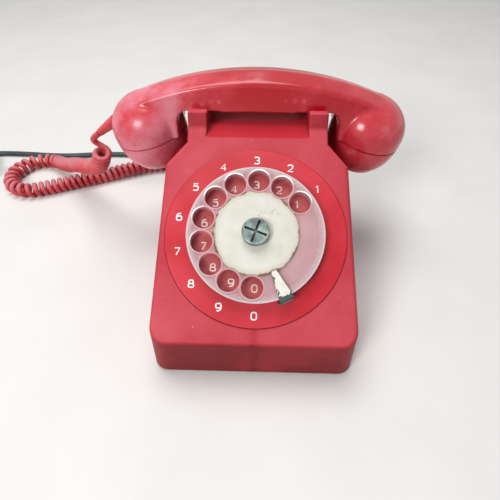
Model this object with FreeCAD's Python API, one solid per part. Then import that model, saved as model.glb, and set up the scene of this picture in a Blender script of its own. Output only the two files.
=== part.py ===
import FreeCAD, Part
import math
import os

# Desk telephone with a rotary dial. Millimetres, +Z up, origin on the table under the middle of the
# body, +Y towards the back, the dial facing -Y and up.

V = FreeCAD.Vector

# Body
body_depth = 192.0
foot_height = 3.0
foot_radius = 8.0
foot_taper = 1.2
foot_from_side = 19.5
foot_from_front = 26.0
foot_from_back = 30.0
front_height = 40.0
fascia_slope = 32.0
fascia_length = 138.8
base_half_width = 69.5
side_draft = 0.0725
back_lean = 8.0
front_corner = 11.0
back_corner = 9.0
edge_round = 3.2
wall = 3.2
shoulder_depth = 14.0
shoulder_step = 13.5
pedestal_half_width = 48.4
cup_deck_height = 65.0
plate_thickness = 2.2
fit_gap = 0.3
boss_radius = 5.0
boss_from_side = 11.5
boss_from_front = 17.0
boss_from_back = 18.0
base_screw_radius = 1.55
base_screw_length = 12.0
base_screw_head_radius = 3.6
base_screw_head = 2.0
base_screw_slot = 1.0
base_screw_play = 0.45
pilot_play = 0.05
pilot_spare = 2.0

# Cradle arms and the hand grip pocket behind the deck
arm_width = 13.4
arm_break = 7.2
arm_break_round = 4.0
arm_round = 1.5
saddle_ramp = 2.0
horn_back_run = 4.0
horn_height = 13.0
saddle_height = 8.2
horn_length = 4.5
horn_round = 1.6
saddle_half = 18.5
pocket_ahead = 11.0
pocket_behind = 17.0
pocket_depth = 5.0
pocket_side = 2.0
pocket_round = 4.0

# Dial
dial_up_slope = 70.1
ring_radius = 59.6
ring_proud = 1.2
ring_round = 0.5
ring_hole_play = 1.0
ring_rebate = 2.0
ring_groove = 0.4
ring_seat = 3.6
wheel_radius = 44.25
wheel_top = 8.5
wheel_thickness = 2.6
wheel_skirt = 5.4
skirt_wall = 1.8
hole_count = 10
hole_pitch = 360.0 / 14
first_digit_angle = 90.0 - 2 * hole_pitch
wheel_rest_turn = -2.5
hole_circle = 34.7
hole_radius = 7.05
collar_wall = 0.9
collar_proud = 0.7
collar_skirt = 2.0
card_radius = 27.5
card_overhang = 1.0
wheel_hub_wall = 2.5
wheel_hub_gap = 1.0
card_thickness = 0.5
card_boss = 0.4
screw_head_radius = 8.75
screw_head_height = 5.2
screw_slot = 1.5
screw_slot_turn = -20.0
screw_slot_depth = 2.2
screw_round = 0.8
screw_rim = 1.4
screw_play = 0.6
screw_shank = 4.0
frame_screw_radius = 2.8
frame_screw_head = 1.8
frame_screw_slot = 0.8
stop_angle = -90.0 + hole_pitch
stop_tip_radius = 26.8
stop_bend_radius = 45.7
stop_tip_width = 3.5
stop_root_width = 9.0
stop_thickness = 1.0
stop_bend_run = 1.5
stop_bend_round = 0.9
stop_clearance = 0.6
stop_slot_margin = 0.9

# Dial mechanism, heights below the fascia plane
frame_top_radius = 58.0
frame_plate = 1.8
frame_bottom_radius = 45.0
frame_depth = 24.0
frame_pillar_radius = 3.0
frame_pillar_circle = 40.0
frame_pillar_angles = (45.0, 100.0, 285.0)
shaft_radius = 3.0
arbor_radius = 1.5
bearing_gap = 0.05
gear_module = 0.5
main_teeth = 84
pinion_teeth = 18
wheel_teeth = 54
mesh_gap = 0.06
tooth_play = 0.1
gear_width = 2.0
main_gear_drop = 9.0
impulse_wheel_drop = 13.0
impulse_angle = 200.0
governor_angle = 110.0
cam_lobes = 3
cam_drop = 18.0
cam_radius = 4.4
cam_lift = 1.4
governor_radius = 7.6
governor_cup_radius = 8.4
spring_leaf = 0.5
spring_pitch = 1.6
spring_turns = 4
spring_width = 6.0
spring_drop = 2.5
spring_start = 1.5
leaf_gap = 1.0
leaf_step = 2.0
leaf_margin = 1.4
leaf_root = 2.0
leaf_block_back = 24.0
leaf_block_depth = 10.0
leaf_block_rise = 5.0

# Handset
handset_behind_edge = 35.3
handset_half_length = 82.5
handle_top = 145.0
handle_arch = 240.0
handle_overlap = 14.5
facet_half_width = 14.0
facet_drop = 3.5
crease_round = 3.0
handle_half_width = 17.0
handle_side_drop = 21.0
underside_height = 122.3
underside_half = 49.6
underside_reach = 58.0
underside_sink = 30.0
cup_radius = 28.0
cup_wall_height = 5.0
cup_bow_radius = 26.8
cup_bow_height = 13.0
cup_shoulder_radius = 22.3
cup_shoulder_drop = 10.0
cup_below_handle = 17.0
cup_tilt = 12.0
seam_height = 97.0
shell_wall = 2.8
cap_depth = 24.0
cap_rim = 19.5
cap_face = 16.0
seam_gap = 0.3
cap_step = 0.2
cap_waist = 2.4
cap_floor = 2.2
cap_bend_in = 1.2
cap_bend_up = 0.7
cap_well_margin = 0.4
cap_hole_radius = 1.6
cap_hole_circle = 9.0
cap_hole_count = 6
capsule_rise = 5.0
capsule_lip = 2.0
capsule_lip_height = 3.0
receiver_radius = 16.5
receiver_height = 10.0
transmitter_radius = 16.0
transmitter_height = 12.0
wire_channel_drop = 7.0
wire_channel_height = 9.0
wire_channel_end = 4.0

# Hook switch
plunger_radius = 3.0
plunger_round = 0.8
plunger_clearance = 0.2
yoke_height = 78.0
yoke_thickness = 4.0
yoke_half_depth = 4.0
yoke_margin = 3.4
contact_clearance = 2.0
contact_block = 12.0
contact_depth = 8.0
contact_half_width = 7.0
contact_setback = 6.0
contact_stem_inset = 2.0
contact_leaf_root = 1.0
contact_leaf = 0.6
contact_leaf_step = 2.4
contact_leaf_width = 2.0
contact_leaf_count = 3

# Ringer
gong_radius = 24.0
gong_height = 17.0
gong_wall = 1.6
gong_x = 31.0
gong_from_back = 36.0
gong_foot = 9.0
coil_radius = 8.5
coil_length = 22.0
coil_x = 13.0
coil_from_back = 87.0
coil_z = 20.0
armature_gap = 2.4
armature_thickness = 2.5
armature_half = 20.0
armature_height = 8.0
armature_hub = 3.2
armature_pin = 1.5
hammer_radius = 3.5
hammer_stem = 0.9
gong_post_radius = 4.0
gong_neck_radius = 1.9
gong_hole_play = 0.1
gong_nut_radius = 4.2
gong_nut_height = 2.2
gong_seat = 1.4
coil_cheek = 2.0
coil_cheek_margin = 1.6
coil_core_radius = 3.0
coil_core_proud = 0.6
ringer_frame_half = 26.0
ringer_frame_wall = 6.0
ringer_frame_rise = 12.0
ringer_foot = 2.0

# Volume knob under the plate, turned with a finger tip
knob_radius = 8.0
knob_from_back = 16.0
knob_x = 0.0
knob_proud = 1.6
knob_flange = 2.0
knob_grip_count = 12
knob_grip_radius = 1.1
knob_grip_out = 0.5
knob_stem_radius = 2.0
knob_stem_length = 8.0
bracket_rise = 10.0
bracket_half = 12.0
bracket_leg = 1.4
bracket_sheet = 1.8
bracket_top_gap = 1.2
bracket_half_depth = 4.0

# Speech parts on the plate
speech_from_front = 32.0
capacitor_from_side = 32.5
capacitor_length = 30.0
capacitor_depth = 20.0
capacitor_height = 16.0
capacitor_round = 2.0
induction_from_side = 31.5
induction_length = 28.0
induction_depth = 22.0
induction_sheet = 3.0
induction_height = 17.0
winding_radius = 7.0
winding_rise = 10.6
board_from_front = 56.0
board_half = 18.0
board_depth = 22.0
board_rise = 5.0
board_sheet = 2.0
board_leg_radius = 2.5
board_leg_inset = 4.0
terminal_radius = 2.2
terminal_height = 2.0
terminal_pitch_x = 8.0
terminal_pitch_y = 6.0

# Cords
gland_radius = 5.0
gland_out = 9.0
gland_flange = 2.0
gland_flange_margin = 1.6
gland_seat = 0.8
gland_nut = 2.1
gland_taper = 0.6
gland_lip = 0.5
line_gland_x = -8.0
line_gland_z = 14.0
curl_gland_x = -40.0
curl_gland_z = 15.0
sleeve_radius = 4.4
sleeve_neck_radius = 3.9
sleeve_neck = 6.0
sleeve_lip = 0.4
curl_gap = 0.8
curl_wire = 4.8
curl_radius = 5.1
curl_pitch_hang = 5.7
curl_pitch_floor = 5.9
curl_ramp = 14.0
hang_height = 20.0
curl_lead = 16.0
curl_tail = 44.0
curl_rest = 7.5
line_diameter = 5.5
coil_inner = 24.5
coil_step = 6.0
coil_turns = 2.375
coil_climb = 0.5
coil_x_centre = -326.0
coil_y_centre = 119.0
coil_start_angle = 96.0
coil_approach = 13.0
tie_half_width = 4.0
tie_band = 1.0
tie_clearance = 1.0
plug_lead = 30.0
plug_neck = 12.0
plug_neck_radius = 5.0
plug_neck_lip = 0.8
plug_length = 34.0
plug_width = 24.0
plug_height = 16.5
plug_round = 3.0
pin_radius = 2.0
pin_length = 14.0
pin_spacing = 13.0
pin_round = 1.2

slope = math.radians(fascia_slope)
front_y = -body_depth / 2
back_y = body_depth / 2
deck_y = front_y + fascia_length * math.cos(slope)
deck_z = front_height + fascia_length * math.sin(slope)
dial_y = front_y + dial_up_slope * math.cos(slope)
dial_z = front_height + dial_up_slope * math.sin(slope)
plate_z = foot_height
saddle_z = deck_z + saddle_height
horn_z = deck_z + horn_height
handset_y = deck_y + handset_behind_edge
saddle_front = handset_y - saddle_half
saddle_back = handset_y + saddle_half
pocket_front = handset_y - pocket_ahead
pocket_back = handset_y + pocket_behind
pocket_floor = deck_z - pocket_depth
knob_y = back_y - knob_from_back
boss_x = base_half_width - boss_from_side
foot_x = base_half_width - foot_from_side
capacitor_x = capacitor_from_side - base_half_width
induction_x = base_half_width - induction_from_side
gong_y = back_y - gong_from_back
coil_y = back_y - coil_from_back
cup_top = handle_top - seam_height - cup_below_handle
cup_shoulder_height = cup_top - cup_shoulder_drop
plate_top = plate_z + plate_thickness
arm_x = pedestal_half_width - arm_width / 2


def box(x0, x1, y0, y1, z0, z1):
    return Part.makeBox(x1 - x0, y1 - y0, z1 - z0, V(x0, y0, z0))


def rod(radius, start, end):
    return Part.makeCylinder(radius, (end - start).Length, start, end - start)


def cone(r0, r1, start, end):
    return Part.makeCone(r0, r1, (end - start).Length, start, end - start)


def disc(radius, low, high, x=0.0, y=0.0):
    return Part.makeCylinder(radius, high - low, V(x, y, low))


def tube(outer, inner, low, high, x=0.0, y=0.0):
    return disc(outer, low, high, x, y).cut(disc(inner, low - 1, high + 1, x, y))


def fuse_all(shapes):
    return shapes[0].multiFuse(shapes[1:]).removeSplitter()


def prism_x(points, x0, x1):
    corners = [V(x0, y, z) for y, z in points]
    face = Part.Face(Part.makePolygon(corners + corners[:1]))
    return face.extrude(V(x1 - x0, 0, 0))


def prism_z(points, z0, z1):
    corners = [V(x, y, z0) for x, y in points]
    face = Part.Face(Part.makePolygon(corners + corners[:1]))
    return face.extrude(V(0, 0, z1 - z0))


def mirrored(shape):
    return shape.mirror(V(0, 0, 0), V(1, 0, 0))


def polar(radius, degrees):
    angle = math.radians(degrees)
    return radius * math.cos(angle), radius * math.sin(angle)


def on_dial(shape):
    placed = shape.copy()
    placed.rotate(V(0, 0, 0), V(1, 0, 0), fascia_slope)
    placed.translate(V(0, dial_y, dial_z))
    return placed


def save(name, shape):
    shape.exportStep("parts/" + name + ".step")


# The housing is one moulded shell, so its outer form and its hollow come from one function

def half_width(z):
    return base_half_width - side_draft * z


def wall_back(z):
    return back_y - back_lean * (z - foot_height) / (deck_z - foot_height)


def plan_outline(z, inset):
    x = half_width(z) - inset
    low = front_y + inset
    high = wall_back(z) - inset
    rf = front_corner - inset
    rb = back_corner - inset
    q = math.sqrt(0.5)
    edges = [
        Part.LineSegment(V(-x + rf, low, z), V(x - rf, low, z)),
        Part.Arc(V(x - rf, low, z), V(x - rf + q * rf, low + rf - q * rf, z), V(x, low + rf, z)),
        Part.LineSegment(V(x, low + rf, z), V(x, high - rb, z)),
        Part.Arc(V(x, high - rb, z), V(x - rb + q * rb, high - rb + q * rb, z), V(x - rb, high, z)),
        Part.LineSegment(V(x - rb, high, z), V(-x + rb, high, z)),
        Part.Arc(V(-x + rb, high, z), V(-x + rb - q * rb, high - rb + q * rb, z), V(-x, high - rb, z)),
        Part.LineSegment(V(-x, high - rb, z), V(-x, low + rf, z)),
        Part.Arc(V(-x, low + rf, z), V(-x + rf - q * rf, low + rf - q * rf, z), V(-x + rf, low, z)),
    ]
    return Part.Wire([e.toShape() for e in edges])


def housing_form(inset, bottom):
    top = deck_z + edge_round
    form = Part.makeLoft([plan_outline(bottom, inset), plan_outline(top, inset)], True, True)
    drop = inset / math.cos(slope)
    far = 2 * body_depth
    roof_y = deck_y + (drop - inset) / math.tan(slope)
    low_z = front_height - drop - (far + front_y) * math.tan(slope)
    roof = [(-far, low_z), (roof_y, deck_z - inset), (far, deck_z - inset), (far, far), (-far, far)]
    form = form.cut(prism_x(roof, -far, far))
    run = math.hypot(shoulder_step, shoulder_depth)
    slide = inset * (run - shoulder_depth) / shoulder_step
    x0 = pedestal_half_width - inset
    y0 = deck_y - slide
    y1 = y0 - (far - x0) * shoulder_depth / shoulder_step
    shoulder = prism_z([(x0, y0), (far, y1), (far, far), (x0, far)], cup_deck_height - inset, far)
    return form.cut(shoulder).cut(mirrored(shoulder))


def on_fascia(point):
    return abs((point.z - front_height) * math.cos(slope) - (point.y - front_y) * math.sin(slope)) < 0.01


def rounded_profile(corners, place):
    points = [V(u, v, 0) for u, v, r in corners]
    edges = []
    previous = None
    first = None
    count = len(points)
    for i in range(count):
        p = points[i]
        before = (points[i - 1] - p).normalize()
        after = (points[(i + 1) % count] - p).normalize()
        radius = corners[i][2]
        half = before.getAngle(after) / 2
        reach = radius / math.tan(half)
        start = p + before * reach
        end = p + after * reach
        if previous is not None:
            edges.append(Part.LineSegment(place(previous), place(start)).toShape())
        if radius > 0:
            bisector = (before + after).normalize()
            mid = p + bisector * (radius / math.sin(half) - radius)
            edges.append(Part.Arc(place(start), place(mid), place(end)).toShape())
        if first is None:
            first = start
        previous = end
    edges.append(Part.LineSegment(place(previous), place(first)).toShape())
    return Part.Wire(edges)


def cradle_arm():
    break_y = deck_y + arm_break * math.cos(slope)
    break_z = deck_z + arm_break * math.sin(slope)
    horn_y = saddle_front - saddle_ramp - horn_length
    back_horn = saddle_back + saddle_ramp + horn_length
    low = deck_z - 2 * wall
    root_y = deck_y - 2 * wall / math.tan(slope)
    corners = [
        (root_y, low, 0), (break_y, break_z, arm_break_round), (horn_y, horn_z, horn_round),
        (saddle_front - saddle_ramp, horn_z, horn_round), (saddle_front, saddle_z, horn_round),
        (saddle_back, saddle_z, horn_round), (saddle_back + saddle_ramp, horn_z, horn_round),
        (back_horn, horn_z, horn_round), (back_horn + horn_back_run, low, 0),
    ]
    inner = pedestal_half_width - arm_width
    face = Part.Face(rounded_profile(corners, lambda p: V(inner, p.x, p.y)))
    return face.extrude(V(arm_width, 0, 0))


def on_arm_side(edge):
    # True for an edge that runs round either flat side of a cradle arm, above the deck
    first = edge.FirstParameter
    last = edge.LastParameter
    spots = [edge.valueAt(t) for t in (first, (first + last) / 2, last)]
    if min(p.z for p in spots) < deck_z + 0.05:
        return False
    sides = (pedestal_half_width, pedestal_half_width - arm_width)
    return any(all(abs(abs(p.x) - side) < 0.02 for p in spots) for side in sides)


def rounded_form():
    # The moulded edges round the fascia and down the shoulders
    form = fuse_all([housing_form(0.0, foot_height), cradle_arm(), mirrored(cradle_arm())])
    picked = []
    for edge in form.Edges:
        ends = [v.Point for v in edge.Vertexes]
        low = min(p.z for p in ends)
        around = all(on_fascia(p) and p.y < deck_y + 0.01 for p in ends)
        deck_line = all(abs(p.z - deck_z) < 0.01 for p in ends)
        upright = max(p.z for p in ends) - low > 5 and abs(ends[0].x - ends[-1].x) < 4
        shoulder = upright and low > cup_deck_height - 0.01 and max(p.y for p in ends) < deck_y - 1
        if (around and not deck_line) or shoulder:
            picked.append(edge)
    form = form.makeFillet(edge_round, picked)
    return form.makeFillet(arm_round, [edge for edge in form.Edges if on_arm_side(edge)])


def boss_places():
    rows = (front_y + boss_from_front, back_y - boss_from_back)
    return [(side * boss_x, y) for side in (-1, 1) for y in rows]


def make_housing():
    outer = rounded_form()
    pocket_x = pedestal_half_width - arm_width - pocket_side
    liner_x = pocket_x + wall
    pocket = box(-pocket_x, pocket_x, pocket_front, pocket_back, pocket_floor, deck_z + wall)
    around = [e for e in pocket.Edges if abs(e.Vertexes[0].Z - e.Vertexes[1].Z) > wall]
    pocket = pocket.makeFillet(pocket_round, around)
    liner = box(-liner_x, liner_x, pocket_front - wall, pocket_back + wall, pocket_floor - wall, deck_z)
    hollow = housing_form(wall, -wall).cut(liner)
    shell = outer.cut(hollow).cut(pocket)
    bosses = [rod(boss_radius, V(x, y, plate_top), V(x, y, horn_z)) for x, y in boss_places()]
    held = outer.common(bosses[0].multiFuse(bosses[1:]))
    shell = fuse_all([shell, held])
    rebate = disc(ring_radius + ring_groove, -ring_rebate, wall)
    opening = disc(ring_radius - ring_seat, -4 * wall, wall)
    shell = shell.cut(on_dial(rebate)).cut(on_dial(opening))
    bore_r = plunger_radius + fit_gap
    for side in (-1, 1):
        x = side * arm_x
        shell = shell.cut(rod(bore_r, V(x, handset_y, deck_z - 3 * wall), V(x, handset_y, horn_z)))
    pilot_top = plate_z + base_screw_length + pilot_spare
    for x, y in boss_places():
        shell = shell.cut(rod(base_screw_radius + pilot_play, V(x, y, 0), V(x, y, pilot_top)))
    for x, z in ((line_gland_x, line_gland_z), (curl_gland_x, curl_gland_z)):
        inside = back_y - back_lean - 2 * wall
        shell = shell.cut(rod(gland_radius, V(x, inside, z), V(x, back_y + wall, z)))
    return shell


# Feet, plate and the screws that hold the shell to the plate

def make_base_plate():
    inset = wall + fit_gap
    plate = Part.Face(plan_outline(plate_z, inset)).extrude(V(0, 0, plate_thickness))
    for x, y in boss_places():
        plate = plate.cut(rod(base_screw_radius + base_screw_play, V(x, y, 0), V(x, y, 2 * plate_top)))
    return plate.cut(rod(knob_radius + fit_gap, V(knob_x, knob_y, 0), V(knob_x, knob_y, 2 * plate_top)))


def make_feet():
    rows = (front_y + foot_from_front, back_y - foot_from_back)
    places = [(side * foot_x, y) for side in (-1, 1) for y in rows]
    feet = [cone(foot_radius - foot_taper, foot_radius, V(x, y, 0), V(x, y, plate_z)) for x, y in places]
    return Part.makeCompound(feet)


def make_base_screws():
    screws = []
    for x, y in boss_places():
        low = plate_z - base_screw_head
        head = rod(base_screw_head_radius, V(x, y, low), V(x, y, plate_z))
        shank = rod(base_screw_radius, V(x, y, plate_z), V(x, y, plate_z + base_screw_length))
        reach = 2 * base_screw_head_radius
        half = base_screw_slot / 2
        slot = box(x - reach, x + reach, y - half, y + half, low - half, low + base_screw_head / 2)
        screws.append(head.fuse(shank).cut(slot))
    return Part.makeCompound(screws)


# Dial pieces, in the dial's own frame: x across, y up the slope, z out of the fascia

def make_number_plate():
    plate = disc(ring_radius, -ring_rebate, ring_proud)
    rim = [e for e in plate.Edges if e.BoundBox.ZMin > ring_proud - ring_round]
    plate = plate.makeFillet(ring_round, rim)
    deep = 2 * ring_radius
    plate = plate.cut(disc(shaft_radius + ring_hole_play, -deep, deep))
    half = stop_root_width / 2 + stop_slot_margin
    near = stop_bend_radius - stop_slot_margin
    far = stop_bend_radius + stop_thickness + stop_slot_margin
    slot = box(near, far, -half, half, -deep, deep)
    slot.rotate(V(0, 0, 0), V(0, 0, 1), stop_angle)
    return plate.cut(slot)


def make_finger_stop():
    low = wheel_top + card_boss + card_thickness + stop_clearance
    end = stop_bend_radius + stop_thickness
    a = stop_tip_width / 2
    b = stop_root_width / 2
    neck = end - stop_bend_run
    outline = [(stop_tip_radius, -a), (neck, -b), (end, -b), (end, b), (neck, b), (stop_tip_radius, a)]
    blade = prism_z(outline, low, low + stop_thickness)
    leg = box(stop_bend_radius, end, -b, b, -wall, low + stop_thickness)
    stop = blade.fuse(leg).removeSplitter()
    top = low + stop_thickness
    bend = [e for e in stop.Edges if all(abs(v.X - end) < 0.01 and abs(v.Z - top) < 0.01 for v in e.Vertexes)]
    stop = stop.makeFillet(stop_bend_round, bend)
    stop.rotate(V(0, 0, 0), V(0, 0, 1), stop_angle)
    return stop


def hole_places():
    start = first_digit_angle + wheel_rest_turn
    return [polar(hole_circle, start + hole_pitch * k) for k in range(hole_count)]


def make_finger_wheel():
    low = wheel_top - wheel_thickness
    wheel = disc(wheel_radius, low, wheel_top)
    skirt = tube(wheel_radius, wheel_radius - skirt_wall, wheel_top - wheel_skirt, wheel_top)
    boss = disc(card_radius - card_overhang, low, wheel_top + card_boss)
    hub = disc(shaft_radius + wheel_hub_wall, ring_proud + wheel_hub_gap, wheel_top)
    collar_low = low - collar_skirt
    collar_top = wheel_top + collar_proud
    collar = hole_radius + collar_wall
    collars = [disc(collar, collar_low, collar_top, x, y) for x, y in hole_places()]
    wheel = wheel.multiFuse([skirt, boss, hub] + collars).removeSplitter()
    deep = 2 * wheel_radius
    for x, y in hole_places():
        wheel = wheel.cut(disc(hole_radius, -deep, deep, x, y))
    return wheel.cut(disc(shaft_radius, -deep, deep))


def make_card():
    low = wheel_top + card_boss
    card = tube(card_radius, shaft_radius, low, low + card_thickness)
    for x, y in hole_places():
        bite = hole_radius + collar_wall + fit_gap
        card = card.cut(disc(bite, low - card_thickness, low + 2 * card_thickness, x, y))
    return card


def make_centre_screw():
    low = wheel_top + card_boss + card_thickness
    head = disc(screw_head_radius, low, low + screw_head_height)
    top = low + screw_head_height
    head = head.makeFillet(screw_round, [e for e in head.Edges if e.BoundBox.ZMin > low + screw_round])
    shank = disc(shaft_radius - screw_play, low - screw_shank, low)
    screw = head.fuse(shank)
    for turn in (screw_slot_turn, screw_slot_turn + 90):
        reach = 2 * screw_head_radius
        slot = box(-reach, reach, -screw_slot / 2, screw_slot / 2, top - screw_slot_depth, 2 * top)
        slot = slot.common(disc(screw_head_radius - screw_rim, low, 2 * top))
        slot.rotate(V(0, 0, 0), V(0, 0, 1), turn)
        screw = screw.cut(slot)
    return screw


def make_shaft():
    top = wheel_top + card_boss
    shaft = disc(shaft_radius, -frame_depth - 1.0, top)
    return shaft.cut(disc(shaft_radius - 0.6, top - 3.5, top + 1))


def involute(angle):
    return math.tan(angle) - angle


def gear(teeth, width, bore, phase):
    pitch_r = gear_module * teeth / 2
    base_r = pitch_r * math.cos(math.radians(20))
    tip_r = pitch_r + 0.9 * gear_module
    root_r = pitch_r - 1.25 * gear_module
    start_r = max(base_r, root_r)
    half_pitch = math.pi / (2 * teeth) - tooth_play / (2 * pitch_r) + involute(math.radians(20))

    def spot(radius, centre, side):
        spread = half_pitch - involute(math.acos(min(1.0, base_r / radius)))
        return V(*polar(radius, math.degrees(centre + side * spread)), 0)

    edges = []
    step = 2 * math.pi / teeth
    for k in range(teeth):
        centre = math.radians(phase) + k * step
        mid_r = (start_r + tip_r) / 2
        up = [spot(r, centre, -1) for r in (start_r, mid_r, tip_r)]
        down = [spot(r, centre, 1) for r in (tip_r, mid_r, start_r)]
        foot = down[2]
        following = spot(start_r, centre + step, -1)
        if start_r > root_r:
            foot = down[2] * (root_r / start_r)
            following = following * (root_r / start_r)
            edges.append(Part.LineSegment(up[0] * (root_r / start_r), up[0]).toShape())
        edges.append(Part.Arc(*up).toShape())
        edges.append(Part.Arc(up[2], V(*polar(tip_r, math.degrees(centre)), 0), down[0]).toShape())
        edges.append(Part.Arc(*down).toShape())
        if start_r > root_r:
            edges.append(Part.LineSegment(down[2], foot).toShape())
        trough = V(*polar(root_r, math.degrees(centre + step / 2)), 0)
        edges.append(Part.Arc(foot, trough, following).toShape())
    blank = Part.Face(Part.Wire(edges)).extrude(V(0, 0, width))
    return blank.cut(disc(bore, -1, width + 1))


def lifted(shape, x, y, z):
    moved = shape.copy()
    moved.translate(V(x, y, z))
    return moved


impulse_distance = gear_module * (main_teeth + pinion_teeth) / 2 + mesh_gap
governor_distance = gear_module * (wheel_teeth + pinion_teeth) / 2 + mesh_gap
impulse_x, impulse_y = polar(impulse_distance, impulse_angle)
governor_x = impulse_x + polar(governor_distance, governor_angle)[0]
governor_y = impulse_y + polar(governor_distance, governor_angle)[1]


def make_dial_frame():
    top = disc(frame_top_radius, -wall - frame_plate, -wall)
    bottom = disc(frame_bottom_radius, -frame_depth, -frame_depth + frame_plate)
    pillars = []
    for angle in frame_pillar_angles:
        x, y = polar(frame_pillar_circle, angle)
        pillars.append(disc(frame_pillar_radius, -frame_depth, -wall, x, y))
    frame = fuse_all([top, bottom] + pillars)
    deep = 2 * frame_depth
    frame = frame.cut(disc(shaft_radius + bearing_gap, -deep, deep))
    for x, y in ((impulse_x, impulse_y), (governor_x, governor_y)):
        frame = frame.cut(disc(arbor_radius + bearing_gap, -deep, deep, x, y))
    return frame


def make_dial_screws():
    screws = []
    for angle in frame_pillar_angles:
        x, y = polar(frame_pillar_circle, angle)
        low = -frame_depth - frame_screw_head
        reach = 2 * frame_screw_radius
        half = frame_screw_slot / 2
        head = disc(frame_screw_radius, low, -frame_depth, x, y)
        slot = box(x - reach, x + reach, y - half, y + half, low - half, low + frame_screw_head / 2)
        screws.append(head.cut(slot))
    return Part.makeCompound(screws)


def make_main_gear():
    return lifted(gear(main_teeth, gear_width, shaft_radius, impulse_angle), 0, 0, -main_gear_drop)


def make_impulse_arbor():
    phase = impulse_angle + 180 + 180 / pinion_teeth
    blank = gear(pinion_teeth, gear_width + 1, arbor_radius, phase)
    pinion = lifted(blank, impulse_x, impulse_y, -main_gear_drop - 0.5)
    core = disc(arbor_radius, -frame_depth - 0.5, -wall - 0.5, impulse_x, impulse_y)
    return pinion.fuse(core).removeSplitter()


def make_impulse_wheel():
    blank = gear(wheel_teeth, gear_width, arbor_radius, governor_angle)
    return lifted(blank, impulse_x, impulse_y, -impulse_wheel_drop)


def make_impulse_cam():
    lobes = [disc(cam_radius, -cam_drop, -cam_drop + gear_width, impulse_x, impulse_y)]
    for k in range(cam_lobes):
        x, y = polar(cam_radius, 360.0 * k / cam_lobes)
        lobes.append(disc(cam_lift, -cam_drop, -cam_drop + gear_width, impulse_x + x, impulse_y + y))
    return fuse_all(lobes).cut(disc(arbor_radius, -60, 60, impulse_x, impulse_y))


def make_governor_arbor():
    phase = governor_angle + 180 + 180 / pinion_teeth
    pinion = gear(pinion_teeth, gear_width + 1, arbor_radius, phase)
    pinion = lifted(pinion, governor_x, governor_y, -impulse_wheel_drop - 0.5)
    core = disc(arbor_radius, -frame_depth - 0.5, -wall - 0.5, governor_x, governor_y)
    return pinion.fuse(core).removeSplitter()


def make_governor_weights():
    low = -frame_depth + frame_plate + 1.0
    ring = tube(governor_radius, governor_radius - 2.6, low, low + 4.0, governor_x, governor_y)
    split = box(governor_x - 20, governor_x + 20, governor_y - 2.0, governor_y + 2.0, low - 1, low + 9)
    arm = box(governor_x - 1.0, governor_x + 1.0, governor_y - governor_radius + 1.5,
              governor_y + governor_radius - 1.5, low + 1.0, low + 3.0)
    return fuse_all([ring.cut(split), arm]).cut(disc(arbor_radius, -60, 60, governor_x, governor_y))


def make_governor_cup():
    low = -frame_depth + frame_plate
    return tube(governor_cup_radius + 1.2, governor_cup_radius, low, low + 6.0, governor_x, governor_y)


def make_dial_spring():
    # A flat spiral of half circles about two centres half a pitch apart
    low = -main_gear_drop - spring_drop - spring_width
    inner = shaft_radius + spring_start

    def chain(start):
        edges = []
        radius = start
        x = 0.0
        for half in range(2 * spring_turns):
            side = 1 if half % 2 == 0 else -1
            left = V(x - side * radius, 0, low)
            right = V(x + side * radius, 0, low)
            edges.append(Part.Arc(left, V(x, side * radius, low), right).toShape())
            radius += spring_pitch / 4
            x = right.x - side * radius
        return edges

    inside = chain(inner)
    outside = chain(inner + spring_leaf)

    def ends(edges):
        return edges[0].valueAt(edges[0].FirstParameter), edges[-1].valueAt(edges[-1].LastParameter)

    a0, a1 = ends(inside)
    b0, b1 = ends(outside)
    caps = [Part.LineSegment(a0, b0).toShape(), Part.LineSegment(a1, b1).toShape()]
    outline = Part.Wire(Part.__sortEdges__(inside + outside + caps))
    return Part.Face(outline).extrude(V(0, 0, spring_width))


def make_impulse_contacts():
    # Two leaf springs in an insulating block, their tips beside the cam
    leaf_x = impulse_x - cam_radius - cam_lift - leaf_gap
    front = impulse_y - leaf_block_back
    back = front + leaf_block_depth
    low = leaf_x - leaf_step - leaf_margin
    high = leaf_x + leaf_margin
    block = box(low, high, front, back, -frame_depth + frame_plate, -cam_drop + leaf_block_rise)
    tip = impulse_y + cam_radius
    leaves = []
    for k in (0, 1):
        x = leaf_x - leaf_step * k
        leaves.append(box(x - spring_leaf, x, back - leaf_root, tip, -cam_drop, -cam_drop + gear_width))
    return fuse_all([block] + leaves)


# Hook switch: the handset's weight holds two plungers down

def make_plunger(side):
    x = side * arm_x
    top = saddle_z - plunger_clearance
    pin = rod(plunger_radius, V(x, handset_y, yoke_height), V(x, handset_y, top))
    return pin.makeFillet(plunger_round, [e for e in pin.Edges if e.BoundBox.ZMin > top - plunger_round])


def make_yoke():
    half = arm_x + yoke_margin
    near = handset_y - yoke_half_depth
    far = handset_y + yoke_half_depth
    return box(-half, half, near, far, yoke_height - yoke_thickness, yoke_height)


def make_hook_contacts():
    # The block hangs from the floor of the hand grip pocket, with its leaves under the yoke
    top = yoke_height - yoke_thickness - contact_clearance
    back = handset_y - contact_setback
    front = back - contact_depth
    half = contact_half_width
    stem = half - contact_stem_inset
    root = back - contact_leaf_root
    pieces = [box(-half, half, front, back, top - contact_block, top)]
    pieces.append(box(-stem, stem, front + contact_leaf_root, root, top, pocket_floor - wall))
    for k in range(contact_leaf_count):
        x = 2 * contact_leaf_width * (k - (contact_leaf_count - 1) / 2)
        low = top - contact_leaf_step * (k + 1)
        tip = handset_y + yoke_half_depth
        half_leaf = contact_leaf_width / 2
        pieces.append(box(x - half_leaf, x + half_leaf, root, tip, low, low + contact_leaf))
    return fuse_all(pieces)


# Ringer: two gongs, a pair of coils and the clapper between them

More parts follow.
